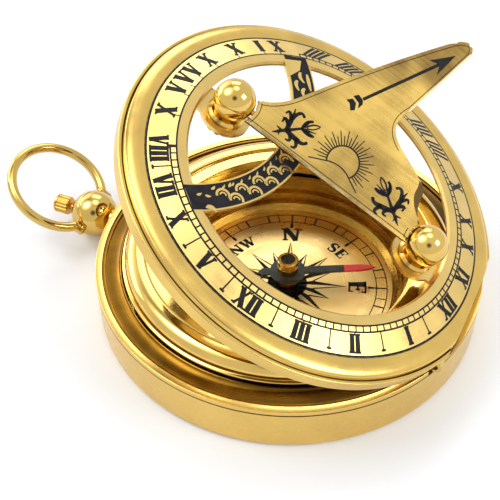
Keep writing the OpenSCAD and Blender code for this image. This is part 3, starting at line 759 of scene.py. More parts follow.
# Each letter stands in a box 1 high: its width, its strokes (start, end, width and maybe the width at the
# end), and the place and width of the serifs at its foot and at its head
LETTERS = {
    "I": (0.345, [((0.172, 0), (0.172, 1), THICK)], [(0.172, 0.36)], [(0.172, 0.36)]),
    "V": (0.74, [((0.17, 1), (0.40, 0), THICK), ((0.61, 1), (0.40, 0), THIN * 1.3)],
          [], [(0.17, 0.36), (0.61, 0.26)]),
    "X": (0.78, [((0.18, 1), (0.60, 0), THICK), ((0.62, 1), (0.16, 0), THIN * 1.3)],
          [(0.60, 0.34), (0.16, 0.24)], [(0.18, 0.34), (0.62, 0.24)]),
    "N": (0.92, [((0.17, 0), (0.17, 1), THIN * 1.3), ((0.76, 0), (0.76, 1), THIN * 1.3),
                 ((0.18, 1), (0.74, 0), THICK)], [(0.17, 0.30)], [(0.76, 0.30), (0.12, 0.24)]),
    "E": (0.78, [((0.22, 0), (0.22, 1), THICK), ((0.22, 0.52), (0.54, 0.52), THIN),
                 ((0.54, 0.40), (0.54, 0.64), THIN), ((0.66, 1), (0.67, 0.74), THIN, THIN * 0.6),
                 ((0.68, 0), (0.70, 0.28), THIN * 1.2, THIN * 0.6)], [(0.38, 0.64)], [(0.37, 0.62)]),
    "S": (0.70, [((0.57, 0.68), (0.56, 1.0), THIN), ((0.10, 0.30), (0.10, 0.0), THIN)], [], []),
    "W": (1.18, [((0.15, 1), (0.38, 0), THICK * 0.85), ((0.58, 0.95), (0.38, 0), THIN),
                 ((0.55, 1), (0.78, 0), THICK * 0.85), ((1.0, 1), (0.78, 0), THIN)],
          [], [(0.15, 0.30), (0.56, 0.26), (1.0, 0.24)]),
}


def letter(character):
    """A letter's width and the outlines of its strokes."""
    width, strokes, feet, heads = LETTERS[character]
    outlines = [stroke(*line) for line in strokes]
    for y, serifs in ((SERIF / 2, feet), (1 - SERIF / 2, heads)):
        outlines += [stroke((x - wide / 2, y), (x + wide / 2, y), SERIF) for x, wide in serifs]
    if character == "S":
        spine = arc(0.35, 0.74, 0.23, 0.23, 20, 250, 14) + arc(0.33, 0.26, 0.25, 0.23, 70, -160, 14)
        swell = [math.sin(math.pi * i / (len(spine) - 1)) ** 2 for i in range(len(spine))]
        outlines.append(ribbon(spine, [THIN + (THICK - THIN) * share for share in swell]))
    return width, outlines


def word(text, height, gap=0.0):
    """Outlines of a word with its middle at x = 0 and its foot at y = 0."""
    widen = 1.05
    parts, x = [], 0.0
    for character in text:
        width, outlines = letter(character)
        parts.append((x, outlines))
        x += width + gap
    middle = (x - gap) / 2
    placed = []
    for offset, outlines in parts:
        for outline in outlines:
            placed.append([((px + offset - middle) * height * widen, py * height) for px, py in outline])
    return placed


def bars(count, pitch, lean):
    """Upright bars that lean together, with a serif at both ends of each."""
    tall, wide, inset, reach = 2.75, 0.5, 0.12, 0.24
    shapes = []
    for i in range(count):
        x = (i - (count - 1) / 2) * pitch
        shapes.append(stroke((x - lean / 2, 0), (x + lean / 2, tall), wide))
        for end, y in ((-lean / 2, inset), (lean / 2, tall - inset)):
            shapes.append(stroke((x + end - reach, y), (x + end + reach, y), 0.22))
    return shapes


def round_the_dial(outlines, radius, degrees, outward=False):
    """Sets outlines round a circle: y runs inwards from the radius, or outwards."""
    way = -1 if outward else 1
    placed = []
    for outline in outlines:
        path = along([*outline, outline[0]], 0.5)[:-1]
        placed.append([polar(radius - way * y, degrees + way * math.degrees(x / radius)) for x, y in path])
    return placed


# Case


def notch_cutters(case, hinge):
    """The room that the lid's edge and its knuckle need at the hinge."""
    half = math.sqrt(case.radius ** 2 - HINGE.x ** 2)
    swing = hinge.barrel + hinge.play
    play, beyond = 0.1, 5
    bed = block((HINGE.x - swing, -half - play / 2, HINGE.z - hinge.flat - play),
                (case.radius + beyond, half + play / 2, case.height + beyond))
    rods = [rod((HINGE.x, -side, HINGE.z), (HINGE.x, side, HINGE.z), radius)
            for side, radius in ((hinge.middle / 2 + play, swing), (half + 1, hinge.barrel + 0.16))]
    return [bed, *rods]


class SUNDIAL_OT_case(Operator):
    """Turns the lower case and cuts its hinge notch"""
    bl_idname = "sundial.case"
    bl_label = "Lower case"

    def execute(self, context):
        case, hinge = in_mm(context.scene.sundial_case), in_mm(context.scene.sundial_hinge)
        shelf_z = case.height - case.seat_height
        shelf_r = case.radius - case.rim - case.shelf
        lip = 0.14
        # The turned line round the wall, half as wide as line and sunk into it
        line_z, line, sunk = case.height - 0.95, 0.14, 0.35
        outer, rim_in, half_lip = case.radius, case.radius - case.rim, lip / 2
        profile = (
            [(0, 0)] + arc(outer - case.edge, case.edge, case.edge, case.edge, -90, 0, 16)
            + [(outer, line_z - line), (outer - sunk, line_z), (outer, line_z + line)]
            + arc(outer - lip, case.height - lip, lip, lip, 0, 90, 5)
            + arc(rim_in + half_lip, case.height - half_lip, half_lip, half_lip, 90, 180, 3)
            + [(rim_in, shelf_z), (shelf_r, shelf_z), (shelf_r, case.floor), (0, case.floor)]
        )
        shell = cut(turned(profile), notch_cutters(case, hinge))
        # Painted shade: the turned line and the notch's walls take the dark, dull sawn-edge finish. The
        # notch's flat bed is bright
        notch_x = HINGE.x - hinge.barrel - hinge.play - 0.01
        second_finish(shell, lambda normal, middle: abs(middle.z - line_z) < line and abs(normal.z) > 0.2
                      or middle.x > notch_x and middle.xy.length < case.radius - 0.06 and middle.z > shelf_z
                      and normal.z < 0.97)
        finish_piece("case_shell", shell, "satin", "case", node="lower_case", more=("side",))
        return {"FINISHED"}


class SUNDIAL_OT_seat(Operator):
    """Turns the band between the rim and the drum"""
    bl_idname = "sundial.seat"
    bl_label = "Seat ring"

    def execute(self, context):
        case, hinge = in_mm(context.scene.sundial_case), in_mm(context.scene.sundial_hinge)
        outer = case.radius - case.rim - 0.05
        inner = outer - case.band
        low, top = case.height - case.seat_height, case.height - 0.2
        groove = top - 0.3
        profile = (
            [(inner, low), (outer, low), (outer, top), (outer - 0.25, top + 0.05), (outer - 0.5, top),
             (outer - 0.55, groove)]
            + arc(outer - 0.6, groove + case.band_rise, case.band - 0.8, case.band_rise, -90, -175, 20)
            + [(inner + 0.05, groove + case.band_rise), (inner, groove + case.band_rise - 0.06)]
        )
        # The catch's stem goes through the ring at the pendant
        slot_w, slot_in, slot_out, slot_top = 2.7, inner - 1, 29.45, 20
        slot = block((slot_in, -slot_w / 2, low - 1), (slot_out, slot_w / 2, slot_top))
        slot.transform(spin(PENDANT_TURN))
        ring = cut(turned(profile), [*notch_cutters(case, hinge), slot])
        # Painted shade: the ring's cut faces near the hinge take the dark sawn-edge finish
        second_finish(ring, lambda normal, middle: abs(normal.z) < 0.9 and middle.x > HINGE.x - 1.4)
        finish_piece("seat_band", ring, "seat", "case", node="seat_ring", more=("side",))
        return {"FINISHED"}


class SUNDIAL_OT_drum(Operator):
    """Turns the polished shoulder of the compass drum"""
    bl_idname = "sundial.drum"
    bl_label = "Compass drum"

    def execute(self, context):
        drum = in_mm(context.scene.sundial_drum)
        crest_r = drum.radius - drum.shoulder
        crest_in = crest_r - drum.crest
        ledge_r = crest_in - drum.cove
        well_r = ledge_r - drum.ledge
        ledge_z = drum.crest_z - drum.ledge_drop
        foot, corner = 0.25, 0.15
        wall_in = drum.radius - 1
        curve_z = drum.base_z + 0.6
        profile = (
            [(well_r, drum.glass_z), (wall_in, drum.glass_z), (wall_in, drum.base_z),
             (drum.radius - 0.2, drum.base_z)]
            + arc(drum.radius - foot, drum.base_z + foot, foot, foot, -70, 80, 10)
            + arc(crest_r, curve_z, drum.shoulder - 0.4, drum.crest_z - curve_z, 0, 90, 28)
            + arc(crest_in, ledge_z + 0.02, drum.cove, drum.ledge_drop - 0.02, 90, 180, 12)
            + [(ledge_r, ledge_z)]
            + arc(well_r + corner, ledge_z - corner, corner, corner, 90, 180, 5)
        )
        finish_piece("drum_shoulder", turned(profile), "polished", "case", node="compass_bezel")
        return {"FINISHED"}


class SUNDIAL_OT_fittings(Operator):
    """Dresses the nodes whose shape is already right"""
    bl_idname = "sundial.fittings"
    bl_label = "Fittings"

    def execute(self, context):
        finishes = {
            "polished": ("case_knuckles", "lid_knuckle"),
            "turned": ("glass_ring",),
            # Painted shade: the bowl and the spacer take the darker bowl brass
            "well": ("compass_bowl", "dial_ring"),
            "mirror": ("pendant_ball", "bow_ring"),
            "collar": ("post_collars", "gnomon_posts"),
            "machined": ("case_screws", "pivot_post", "needle_cap", "post_nuts", "gnomon_pivots",
                         "pendant_neck", "push_crown", "push_rod"),
            "old": ("hinge_pin", "lid_catch"),
            "hour": ("hour_dial",), "card": ("compass_dial",), "glass": ("compass_glass",),
            "agate": ("cap_jewel",), "spring": ("crown_spring",),
        }
        for finish, nodes in finishes.items():
            for node in nodes:
                dress(node, finish)
        return {"FINISHED"}


# Compass


class SUNDIAL_OT_rose(Operator):
    """Draws the compass star, its letters and its scale on the dial"""
    bl_idname = "sundial.rose"
    bl_label = "Compass rose"

    def execute(self, context):
        compass = in_mm(context.scene.sundial_compass)
        low, high = compass.dial_z - 0.02, compass.dial_z + 0.015
        # Lengths of the star's rays in turn, from N on
        rays, waist, hub, half_ray = (10.0, 7.8, 9.4, 7.8), 4.5, 3.4, 11.25
        star = [spot((0, 0), hub, 48)]
        for i in range(16):
            way = NORTH - i * half_ray * 2
            tip = polar(rays[i % 4], way)
            shaded, bare = polar(waist, way + half_ray), polar(waist, way - half_ray)
            star.append([polar(0.3, way), tip, shaded])
            star.append(stroke(tip, bare, 0.1, 0.3))
        finish_piece("rose_star", slab(star, low, high), "enamel", "case")

        marks = bmesh.new()
        ring_in, ring_out, line = 15.15, 16.95, 0.18
        hoop(marks, ring_in, ring_in + line, low, high)
        hoop(marks, ring_out, ring_out + line, low, high)
        ticks = []
        tick_in, tick_out = ring_in + 0.05, ring_out + 0.05
        for bearing in range(0, 360, 45):
            # A long tick with a thick end at each letter, and two short ones on both sides
            way = NORTH - bearing
            ticks += [spoke(13.9, tick_out, way, 0.3), spoke(13.7, 14.7, way, 0.44)]
            for offset, wide in ((8.7, line), (15.3, 0.3)):
                ticks.append(spoke(tick_in, tick_out, way - offset, wide))
                ticks.append(spoke(tick_in, tick_out, way + offset, wide))
        slab(ticks, low, high, marks)
        finish_piece("rose_scale", marks, "enamel", "case")

        letters = []
        letters_r = 12.0
        # The north-east place reads SE, as on the object
        for i, text in enumerate(("N", "SE", "E", "SE", "S", "SW", "W", "NW")):
            tall = 3.1 if len(text) == 1 else 2.15
            outlines = word(text, tall, 0.06)
            letters.extend(round_the_dial(outlines, letters_r - tall / 2, NORTH - i * 45, outward=True))
        finish_piece("rose_letters", slab(letters, low, high), "enamel", "case")
        return {"FINISHED"}


class SUNDIAL_OT_needle(Operator):
    """Cuts the needle with its disc, its red tip and its other arm"""
    bl_idname = "sundial.needle"
    bl_label = "Needle"

    def execute(self, context):
        c = in_mm(context.scene.sundial_compass)
        half, disc = c.needle_width / 2, c.needle_disc
        side = math.degrees(math.asin(half / disc))
        point, shoulder = 0.8, 3.0
        red_edge = bend((c.needle_long - shoulder, half * 0.92), (c.needle_long - 0.6, half * 0.8),
                        (c.needle_long, 0), 6)
        outline = (
            arc(0, 0, disc, disc, side, 180 - side, 40)
            + [(-c.needle_short + point, half), (-c.needle_short, 0), (-c.needle_short + point, -half)]
            + arc(0, 0, disc, disc, 180 + side, 360 - side, 40)
            + [(x, -y) for x, y in red_edge] + red_edge[-2::-1]
        )
        low = c.needle_z
        plate = slab([outline], low, low + c.needle_thickness)
        hole = rod((0, 0, low - 1), (0, 0, low + 1), c.needle_hole)
        finish_piece("needle_arms", combine(plate, hole), "needle", "needle", node="compass_needle")
        return {"FINISHED"}


# Lid


def hour_height(lid):
    """The shut hour dial's height at a radius."""
    slope = 0.297
    flat_from = lid.dial_radius - lid.dial_width

    def height(radius):
        return lid.dial_rim_z + slope * (lid.dial_radius - max(radius, flat_from))
    return height


class SUNDIAL_OT_lid_rim(Operator):
    """Turns the lid's rounded rim and cuts it for the hinge"""
    bl_idname = "sundial.lid_rim"
    bl_label = "Lid rim"

    def execute(self, context):
        case, hinge, lid = (in_mm(getattr(context.scene, key))
                            for key in ("sundial_case", "sundial_hinge", "sundial_lid"))
        height = hour_height(lid)
        bezel_in = case.radius - lid.bezel
        top_z = lid.dial_rim_z
        step_z = top_z - lid.step
        wall_in = case.radius - lid.wall
        ledge_in = lid.dial_radius - 0.8
        outer, low, edge, corner = case.radius, lid.bottom_z, 0.12, 0.18
        groove_out, groove_in = outer - 0.5, outer - 0.7
        profile = (
            [(wall_in, low + edge), (wall_in + edge, low), (outer - edge, low), (outer, low + edge)]
            + arc(outer - corner, step_z - corner, corner, corner, 0, 90, 6)
            + [(groove_out, step_z), (groove_out - 0.07, step_z - 0.14), (groove_in, step_z + 0.08)]
            + arc(bezel_in + 0.25, step_z + 0.35, lid.bezel - 1.05, lid.step - 0.4, 0, 90, 24)
            + [(bezel_in, top_z - 0.05), (bezel_in, height(bezel_in) - lid.dial_thickness),
               (ledge_in, height(ledge_in) - lid.dial_thickness), (ledge_in, step_z),
               (bezel_in, step_z - 0.1), (wall_in - 0.65, step_z - 0.3), (wall_in, step_z - 0.75)]
        )
        lip_in, lip_w = 30.5, 2.2
        lip = block((lip_in, -lip_w / 2, lid.lip_z), (wall_in + lid.wall / 2, lip_w / 2, lid.lip_z + 0.5))
        lip.transform(spin(PENDANT_TURN))
        swing = hinge.barrel + hinge.play
        half = math.sqrt(case.radius ** 2 - HINGE.x ** 2) + hinge.play
        leaf_l = hinge.middle - 1.2
        flat_x, beyond = HINGE.x + hinge.flat, 40
        rim = cut(combine(turned(profile), lip, "UNION"), [
            block((flat_x, -beyond, 0), (beyond, beyond, beyond)),
            rod((HINGE.x, -half, HINGE.z), (HINGE.x, half, HINGE.z), swing),
            block((flat_x - hinge.leaf, -leaf_l / 2, HINGE.z), (flat_x + 1, leaf_l / 2, step_z + 0.3)),
        ])
        # Painted shade: the underside, the inner wall and the groove round the rim take the dark underside
        # finish
        second_finish(rim, lambda normal, middle: normal.z < -0.3 and middle.z > lid.bottom_z + 0.3
                      or normal.xy.dot(middle.xy) < 0 and middle.z < step_z - 0.2
                      or groove_in - 0.01 < middle.xy.length < groove_out and middle.z < step_z + 0.05)
        finish_piece("lid_rim", rim, "bezel", "lid", node="lid_bezel", more=("under",))
        return {"FINISHED"}


# Hour figures and the bearing of each on the lid, counted from the hinge. Their tops face the centre
NEAR_FIGURES = (
    ("VIII", -148.3), ("VII", -134.6), ("X", -122.8), ("V", -107.4), ("XII", -90.3), ("III", -71.7),
    ("II", -53.3), ("I", -32.1), ("XII", -10.6), ("XI", 4.4), ("X", 18.3), ("X", 29.3), ("X", 43.5),
)
# Worn figures on the far side: middle bearing, number of bars, pitch and lean
WORN_FIGURES = ((59.4, 4, 1.0, 1.4), (69.6, 4, 1.0, 1.4), (81.5, 3, 0.9, 1.4), (92.0, 4, 0.95, 1.8),
                (104.4, 4, 1.0, 2.6), (118.1, 4, 1.0, 2.6))
# Behind the pendant the figures stand the other way up
FAR_FIGURES = (
    ("X", 134.6), ("I", 141.8), ("X", 152.6), ("X", 166.1), ("VV", 177.0), ("V", 185.6), ("X", 196.3),
)
FAR_TICKS = (134.6, 141.8, 154.0, 165.7, 175.5, 181.5, 186.8, 197.4)
HALF_HOURS = (-23.5, -43.1, -62.1, -81.0, -98.1, -114.4, -141.4)


class SUNDIAL_OT_hours(Operator):
    """Inlays the hour figures, half-hour lines and the ladder track"""
    bl_idname = "sundial.hours"
    bl_label = "Hour figures"

    def execute(self, context):
        lid = in_mm(context.scene.sundial_lid)
        height = hour_height(lid)
        sunk, proud = -0.03, 0.012
        figures = []
        head_r, foot_r, tall, far_tall = 25.0, 27.85, 2.7, 2.85
        for text, bearing in NEAR_FIGURES:
            figures.extend(round_the_dial(word(text, tall), foot_r, bearing))
            figures.append(spoke(head_r, foot_r - tall + 0.1, bearing, 0.16))
        for bearing, count, pitch, lean in WORN_FIGURES:
            figures.extend(round_the_dial(bars(count, pitch, lean), foot_r, bearing))
        for text, bearing in FAR_FIGURES:
            figures.extend(round_the_dial(word(text, far_tall), head_r - 0.2, bearing, outward=True))
        marks = slab(figures, sunk, proud)
        finish_piece("hour_figures", wrap_on(marks, height), "enamel", "lid")

        lines = bmesh.new()
        # Outer line, and the ladder: its inner rail goes all round, its outer rail and its rungs don't
        start, end, rung_count = -149.2, 126.1, 97
        in_r, out_r = 24.1, 24.9
        hoop(lines, lid.dial_radius - 0.3, lid.dial_radius - 0.01, sunk, proud)
        hoop(lines, in_r - 0.15, in_r + 0.1, sunk, proud)
        hoop(lines, out_r - 0.08, out_r + 0.18, sunk, proud, start, end)
        spacing = (end - start) / rung_count
        rungs = [spoke(in_r, out_r, start + spacing * i, 0.24) for i in range(rung_count + 1)]
        rungs += [spoke(in_r, out_r + 0.05, bearing, 0.18) for bearing in FAR_TICKS]
        # Half-hour lines, each with a dot at its outer end
        half_r, dot = 27.5, stroke((-0.38, 0), (0.38, 0), 0.34)
        for bearing in HALF_HOURS:
            rungs.append(spoke(out_r, half_r, bearing, 0.2, 0.24))
            rungs.extend(round_the_dial([dot], half_r + 0.05, bearing))
        # The ladder's dark end, and a longer bar across it
        rungs += [spoke(in_r, 25.4, start, 0.5), spoke(23.5, 25.1, -132.4, 0.34)]
        slab(rungs, sunk, proud, lines)
        finish_piece("hour_track", wrap_on(lines, height), "enamel", "lid")
        return {"FINISHED"}


class SUNDIAL_OT_crossbar(Operator):
    """Enamels the crescent crossbar and lays its scale pattern"""
    bl_idname = "sundial.crossbar"
    bl_label = "Crossbar"

    def execute(self, context):
        lid = in_mm(context.scene.sundial_lid)
        face = hour_height(lid)(0)
        near_x, near_r, far_x, far_r = -31.1, 22.3, -32.0, 27.5
        track_r, margin = 23.97, 0.28

        def edge(centre_x, radius):
            """The crescent's edge between its two ends on the track."""
            cosine = (track_r ** 2 - centre_x ** 2 - radius ** 2) / (2 * centre_x * radius)
            swing = math.degrees(math.acos(cosine))
            return arc(centre_x, 0, radius, radius, -swing, swing, 48)
        ground = edge(near_x, near_r + margin) + edge(far_x, far_r - margin)[::-1]
        finish_piece("bar_ground", slab([ground], face - 0.07, face + 0.012), "enamel", "lid")

        inlay = []
        # Wave scales in two rows that lean to the left, with a leaf below each
        pitch, rows, leaf_row = 3.95, (26.5, 25.35), 24.2
        axis = Vector((far_x, 0))
        for step in range(-9, 7):
            turn = step * pitch + 0.6
            centre = axis + polar(rows[step % 2], turn)
            rise = turn + 155
            for size, width, spread in ((1.0, 0.38, 108), (0.46, 0.24, 90)):
                path = arc(centre.x, centre.y, size, size, rise - spread, rise + spread, 14)
                inlay.append(ribbon(path, [width] * len(path)))
            inlay.append(leaf(axis + polar(leaf_row, turn + 0.8), rise - 60, 0.9, 0.3, 70))
        # Leaves at the pendant's end
        for x, y, heading in ((-14.3, -17.4, 40), (-13.3, -16.5, 10), (-13.1, -15.0, 60), (-11.3, -12.7, 80)):
            inlay.append(leaf((x, y), heading, 1.0, 0.42, 50))
        inlay.append([(-12.2, -18.3), *arc(-11.4, -18.2, 0.95, 0.95, 150, 30, 8), (-10.5, -17.7)])
        # The bare patch and the scrolls at the other end
        inlay.append([(-16.1, 16.6), (-13.75, 18.7), (-13.0, 16.7), (-13.9, 13.7)])
        swell = [0.3, 0.5, 0.62, 0.66, 0.64, 0.6, 0.5, 0.4, 0.25]
        scrolls = (
            ((-12.7, 16.4), (-12.7, 15.2), (-11.2, 14.9)), ((-12.3, 14.4), (-12.6, 13.4), (-11.2, 12.7)),
            ((-10.6, 13.9), (-11.0, 13.0), (-9.9, 12.2)), ((-11.7, 16.9), (-10.7, 15.6), (-9.6, 14.3)),
        )
        inlay += [ribbon(bend(*path, 8), swell) for path in scrolls]
        finish_piece("bar_scales", slab(inlay, face - 0.02, face + 0.03), "hour", "lid")
        return {"FINISHED"}


# Gnomon


def blade_outline(g):
    """The gnomon's outline, u along the pivot line and w up the plate."""
    ear, hip, hip_top = 2.05, Vector((13.35, 5.6)), Vector((11.4, 7.8))
    root, waist = Vector((6.4, 9.55)), Vector((4.25, 15.4))
    tip, left_hip = Vector((3.8, g.reach - 1.1)), Vector((-10.55, 6.4))

    def round_cut(side, start, end):
        points = []
        for i in range(9):
            w = start + (end - start) * i / 8
            points.append((side * (g.half - math.sqrt(g.clearance ** 2 - w * w)), w))
        return points
    return (
        round_cut(1, -g.foot, ear)
        + bend((15.2, ear), hip - Vector((-0.35, 2.2)), hip)[1:]
        + bend(hip, hip_top + Vector((1.8, -0.5)), hip_top)[1:]
        + bend(root, root + Vector((-4.1, 1.75)), waist)
        + bend(tip + Vector((3.2, -0.3)), tip + Vector((2.5, 2.4)), tip, 18)
        + bend(tip, left_hip + Vector((6.75, 12)), left_hip, 24)[1:]
        + bend(left_hip, left_hip - Vector((1.95, 3.3)), (-15.2, ear))[1:-1]
        + round_cut(-1, ear, -g.foot)
    )


class SUNDIAL_OT_gnomon(Operator):
    """Cuts the gnomon with its bevelled edge"""
    bl_idname = "sundial.gnomon"
    bl_label = "Gnomon"

    def execute(self, context):
        g = in_mm(context.scene.sundial_gnomon)
        plate = slab([blade_outline(g)], -g.thickness / 2, g.thickness / 2)
        caps = [face for face in plate.faces if len(face.verts) > 4]
        rims = {edge for face in caps for edge in face.edges}
        bmesh.ops.bevel(plate, geom=list(rims), offset=g.bevel, segments=1, profile=0.5, affect="EDGES",
                        clamp_overlap=True)
        # Between the notch and the right-hand ball the plate's edge is filed off at a slant
        slant, slant_from, slant_to, slant_x = 1.5, 1.5, 9.5, 8
        for vert in plate.verts:
            x, y = vert.co.xy
            if vert.co.z > 0 and x > slant_x and slant_from < y < slant_to:
                vert.co.x -= slant * math.sin(math.pi * (y - slant_from) / (slant_to - slant_from))
        # The bevel is bright with painted highlight, and the sawn wall and the slant are dark and dull with
        # painted shade
        second_finish(plate, lambda normal, middle: 0.25 <= abs(normal.z) < 0.97, 2)
        second_finish(plate, lambda normal, middle: abs(normal.z) < 0.25 or middle.x > 10 and normal.x > 0.4)
        finish_piece("gnomon_blade", plate, "blade", "gnomon", node="gnomon_plate", more=("side", "edge"))
        return {"FINISHED"}


def arrow_outlines():
    head = [(5.0, 27.1), (2.06, 23.8), (3.35, 24.15), (3.85, 23.9), (4.3, 22.6)]
    shaft = stroke((-2.75, 12.1), (3.65, 24.2), 0.5)
    last_vane = [(-4.8, 10.45), (-4.1, 11.2), (-3.3, 10.95), (-2.8, 9.9), (-3.35, 9.45), (-4.05, 10.3)]
    first_vane = [(-4.25, 11.6), (-3.7, 12.3), (-2.7, 12.0), (-2.35, 11.4), (-2.55, 10.4), (-2.95, 11.2)]
    return [head, shaft, last_vane, first_vane]


def sun_outlines():
    """A half sun above a curved horizon, with long and short rays in turn."""
    centre, radius = Vector((0.33, 2.2)), 2.55
    low, high = -35.0, 211.0
    dome = arc(centre.x, centre.y, radius, radius, low, high, 48)
    horizon = [(-4.4, -0.35), *bend((-2.1, 0.75), (0.3, 2.05), (2.5, 0.7), 20), (4.6, -0.4)]
    shapes = [ribbon(dome, [0.24] * len(dome)), ribbon(horizon, [0.2] * len(horizon))]
    ray_count, first, step = 29, -23.3, 8.0
    for i in range(ray_count):
        direction = first + step * i
        reach = 4.05 if i % 2 == 0 else 4.9
        ends = centre + polar(radius, direction), centre + polar(reach, direction)
        shapes.append(stroke(*ends, 0.2, 0.14))
    return shapes


def scroll(a, b, c, wide, narrow):
    """A curling leaf from a to c by way of b."""
    steps = 12
    widths = [wide + (narrow - wide) * (i / steps) ** 1.5 for i in range(steps + 1)]
    return ribbon(bend(a, b, c, steps), widths)


# The sprig's stem runs along x from its foot to its tulip. Ribbons are points and a width at each
SPRIG_RIBBONS = (
    # Stem, foot, and the foot's two short strokes
    ([(-0.3, 0), (0.6, 0), (1.6, 0.03), (2.5, 0)], [0.7, 0.5, 0.38, 0.5]),
    ([(0.2, 0), (-0.8, 0), (-1.5, -0.02), (-1.9, -0.06), (-2.5, 0)], [0.9, 0.5, 0.55, 0.36, 0.08]),
    ([(-1.0, 0.1), (-1.6, 0.82)], [0.4, 0.16]), ([(-1.35, 0), (-1.6, -0.62)], [0.4, 0.08]),
    # The branches that carry the leaves on the first and on the second side
    ([(-0.2, 0), (0.2, 0.7), (0.6, 1.3), (1.05, 2.0)], [0.8, 0.75, 0.8, 0.7]),
    ([(-0.2, 0), (0.2, -0.6), (0.7, -1.2), (1.35, -1.85)], [0.8, 0.75, 0.8, 0.75]),
)
# Start, turning point, end, and the width at the start and at the end
SPRIG_SCROLLS = (
    # Leaves on the first side
    ((0.65, 1.3), (1.0, 3.35), (0.02, 2.55), 0.6, 0.26), ((0.95, 1.7), (1.3, 2.4), (1.6, 3.1), 0.55, 0.12),
    ((0.85, 1.6), (2.5, 3.0), (2.8, 1.75), 0.62, 0.34), ((0.15, 0.5), (0.05, 2.6), (-0.68, 1.3), 0.62, 0.3),
    ((0.0, 1.2), (-0.2, 1.9), (-0.5, 2.05), 0.4, 0.16),
    # Leaves on the second side
    ((0.9, -1.3), (1.7, -2.55), (2.55, -2.25), 0.7, 0.4),
    ((1.0, -1.4), (1.0, -3.3), (0.05, -2.45), 0.62, 0.28),
    ((0.15, -0.5), (0.3, -2.15), (-0.65, -1.25), 0.62, 0.24),
    # Tulip: two full petals, a split one and a hollow one
    ((2.2, 0), (2.9, 1.25), (4.1, 0.85), 0.5, 0.4), ((2.5, 0.15), (3.2, 1.0), (3.85, 0.95), 0.6, 0.3),
    ((2.2, 0), (2.9, -1.35), (3.85, -1.4), 0.5, 0.3), ((2.6, -0.2), (3.1, -1.1), (3.75, -1.25), 0.62, 0.24),
    ((2.5, -0.1), (3.3, -0.6), (4.25, -0.95), 0.36, 0.12),
    ((2.9, 0.15), (4.1, 0.65), (5.05, 0), 0.3, 0.2), ((2.9, 0.0), (3.9, -0.62), (5.05, 0), 0.22, 0.2),
)
# Round ends of two leaves: middle and radius
SPRIG_SPOTS = (((2.75, 1.8), 0.24), ((2.45, -2.25), 0.28))


def sprig_outlines(root, degrees, size, flip=1):
    """Scrolled leaves on both sides of a stem that carries a tulip."""
    shapes = [ribbon(*row) for row in SPRIG_RIBBONS] + [scroll(*row) for row in SPRIG_SCROLLS]
    shapes += [spot(*row) for row in SPRIG_SPOTS]
    turn = Matrix.Rotation(math.radians(degrees), 2)
    placed = []
    for outline in shapes:
        placed.append([Vector(root) + turn @ (Vector((x, y * flip)) * size) for x, y in outline])
    return placed


class SUNDIAL_OT_engraving(Operator):
    """Inlays the arrow, the half sun and the two sprigs on the gnomon"""
    bl_idname = "sundial.engraving"
    bl_label = "Engraving"

    def execute(self, context):
        g = in_mm(context.scene.sundial_gnomon)
        outlines = arrow_outlines() + sun_outlines()
        outlines += sprig_outlines((-9.17, 1.05), 43, 1.0) + sprig_outlines((10.55, 0.98), 145, 1.03, -1)
        # A fine dark line along the bevel, painted shade at the plate's edge laid in the black enamel, left
        # out where the edge is filed at a slant
        outlines += [piece for piece in border(blade_outline(g), g.bevel + 0.05, g.bevel + 0.17)
                     if not (piece[0][0] > 9 and 0 < piece[0][1] < 9.7)]
        face = g.thickness / 2
        finish_piece("gnomon_engraving", slab(outlines, face - 0.04, face + 0.012), "enamel", "gnomon")
        return {"FINISHED"}


# Stage


def add_lamp(name, energy, size, place):
    """A white lamp that faces the middle of the object."""
    middle = Vector((0, 0, 0.01))
    lamp = bpy.data.lights.new(name, "AREA")
    lamp.shape = "RECTANGLE"
    lamp.size, lamp.size_y = size
    lamp.energy = energy
    thing = new_object(name, lamp)
    thing.location = place
    thing.rotation_euler = (middle - Vector(place)).to_track_quat("-Z", "Y").to_euler()


def seen_by_camera(path):
    """1 for camera and transmission rays, and 0 for the others."""
    seen = {0: path.outputs["Is Camera Ray"], 1: path.outputs["Is Transmission Ray"]}
    return add(path.id_data, "Math", seen, operation="MAXIMUM")


def studio_walls(tree):
    """The world's strength: even for diffuse light, white where the camera sees it, patches in the metal."""
    direction = add(tree, "TexCoord", output="Generated")
    # Soft round patches: direction, inner and outer angle in degrees, and the strength that they add
    patches = (
        # The camera's stand, and a dark wall on the left
        ((0.30, -0.63, 0.71), 4, 17, -0.8), ((-0.55, 0.15, 0.82), 5, 20, -0.5),
        # Panels: one above on the left, two low ones behind on the left, and one overhead
        ((-0.48, -0.20, 0.86), 10, 27, 1.6), ((-0.82, 0.45, 0.35), 12, 30, 1.0),
        ((-0.27, 0.73, 0.62), 5, 15, 1.2), ((0.05, 0.24, 0.97), 4, 15, 3.2),
    )
    diffuse, seen = 0.8, 0.9
    for toward, inner, outer, strength in patches:
        toward = Vector(toward).normalized()
        near = add(tree, "VectorMath", {0: direction, 1: toward}, "Value", operation="DOT_PRODUCT")
        patch = add(tree, "MapRange", {"Value": near, "From Min": math.cos(math.radians(outer)),
                                       "From Max": math.cos(math.radians(inner)), "To Max": strength})
        seen = add(tree, "Math", {0: seen, 1: patch}, operation="ADD", use_clamp=strength < 0)
    path = add(tree, "LightPath").node
    metal = add(tree, "Mix", {"Factor": path.outputs["Is Glossy Ray"], "A": diffuse, "B": seen}, "Result")
    return add(tree, "Mix", {"Factor": seen_by_camera(path), "A": metal, "B": 1.0}, "Result")


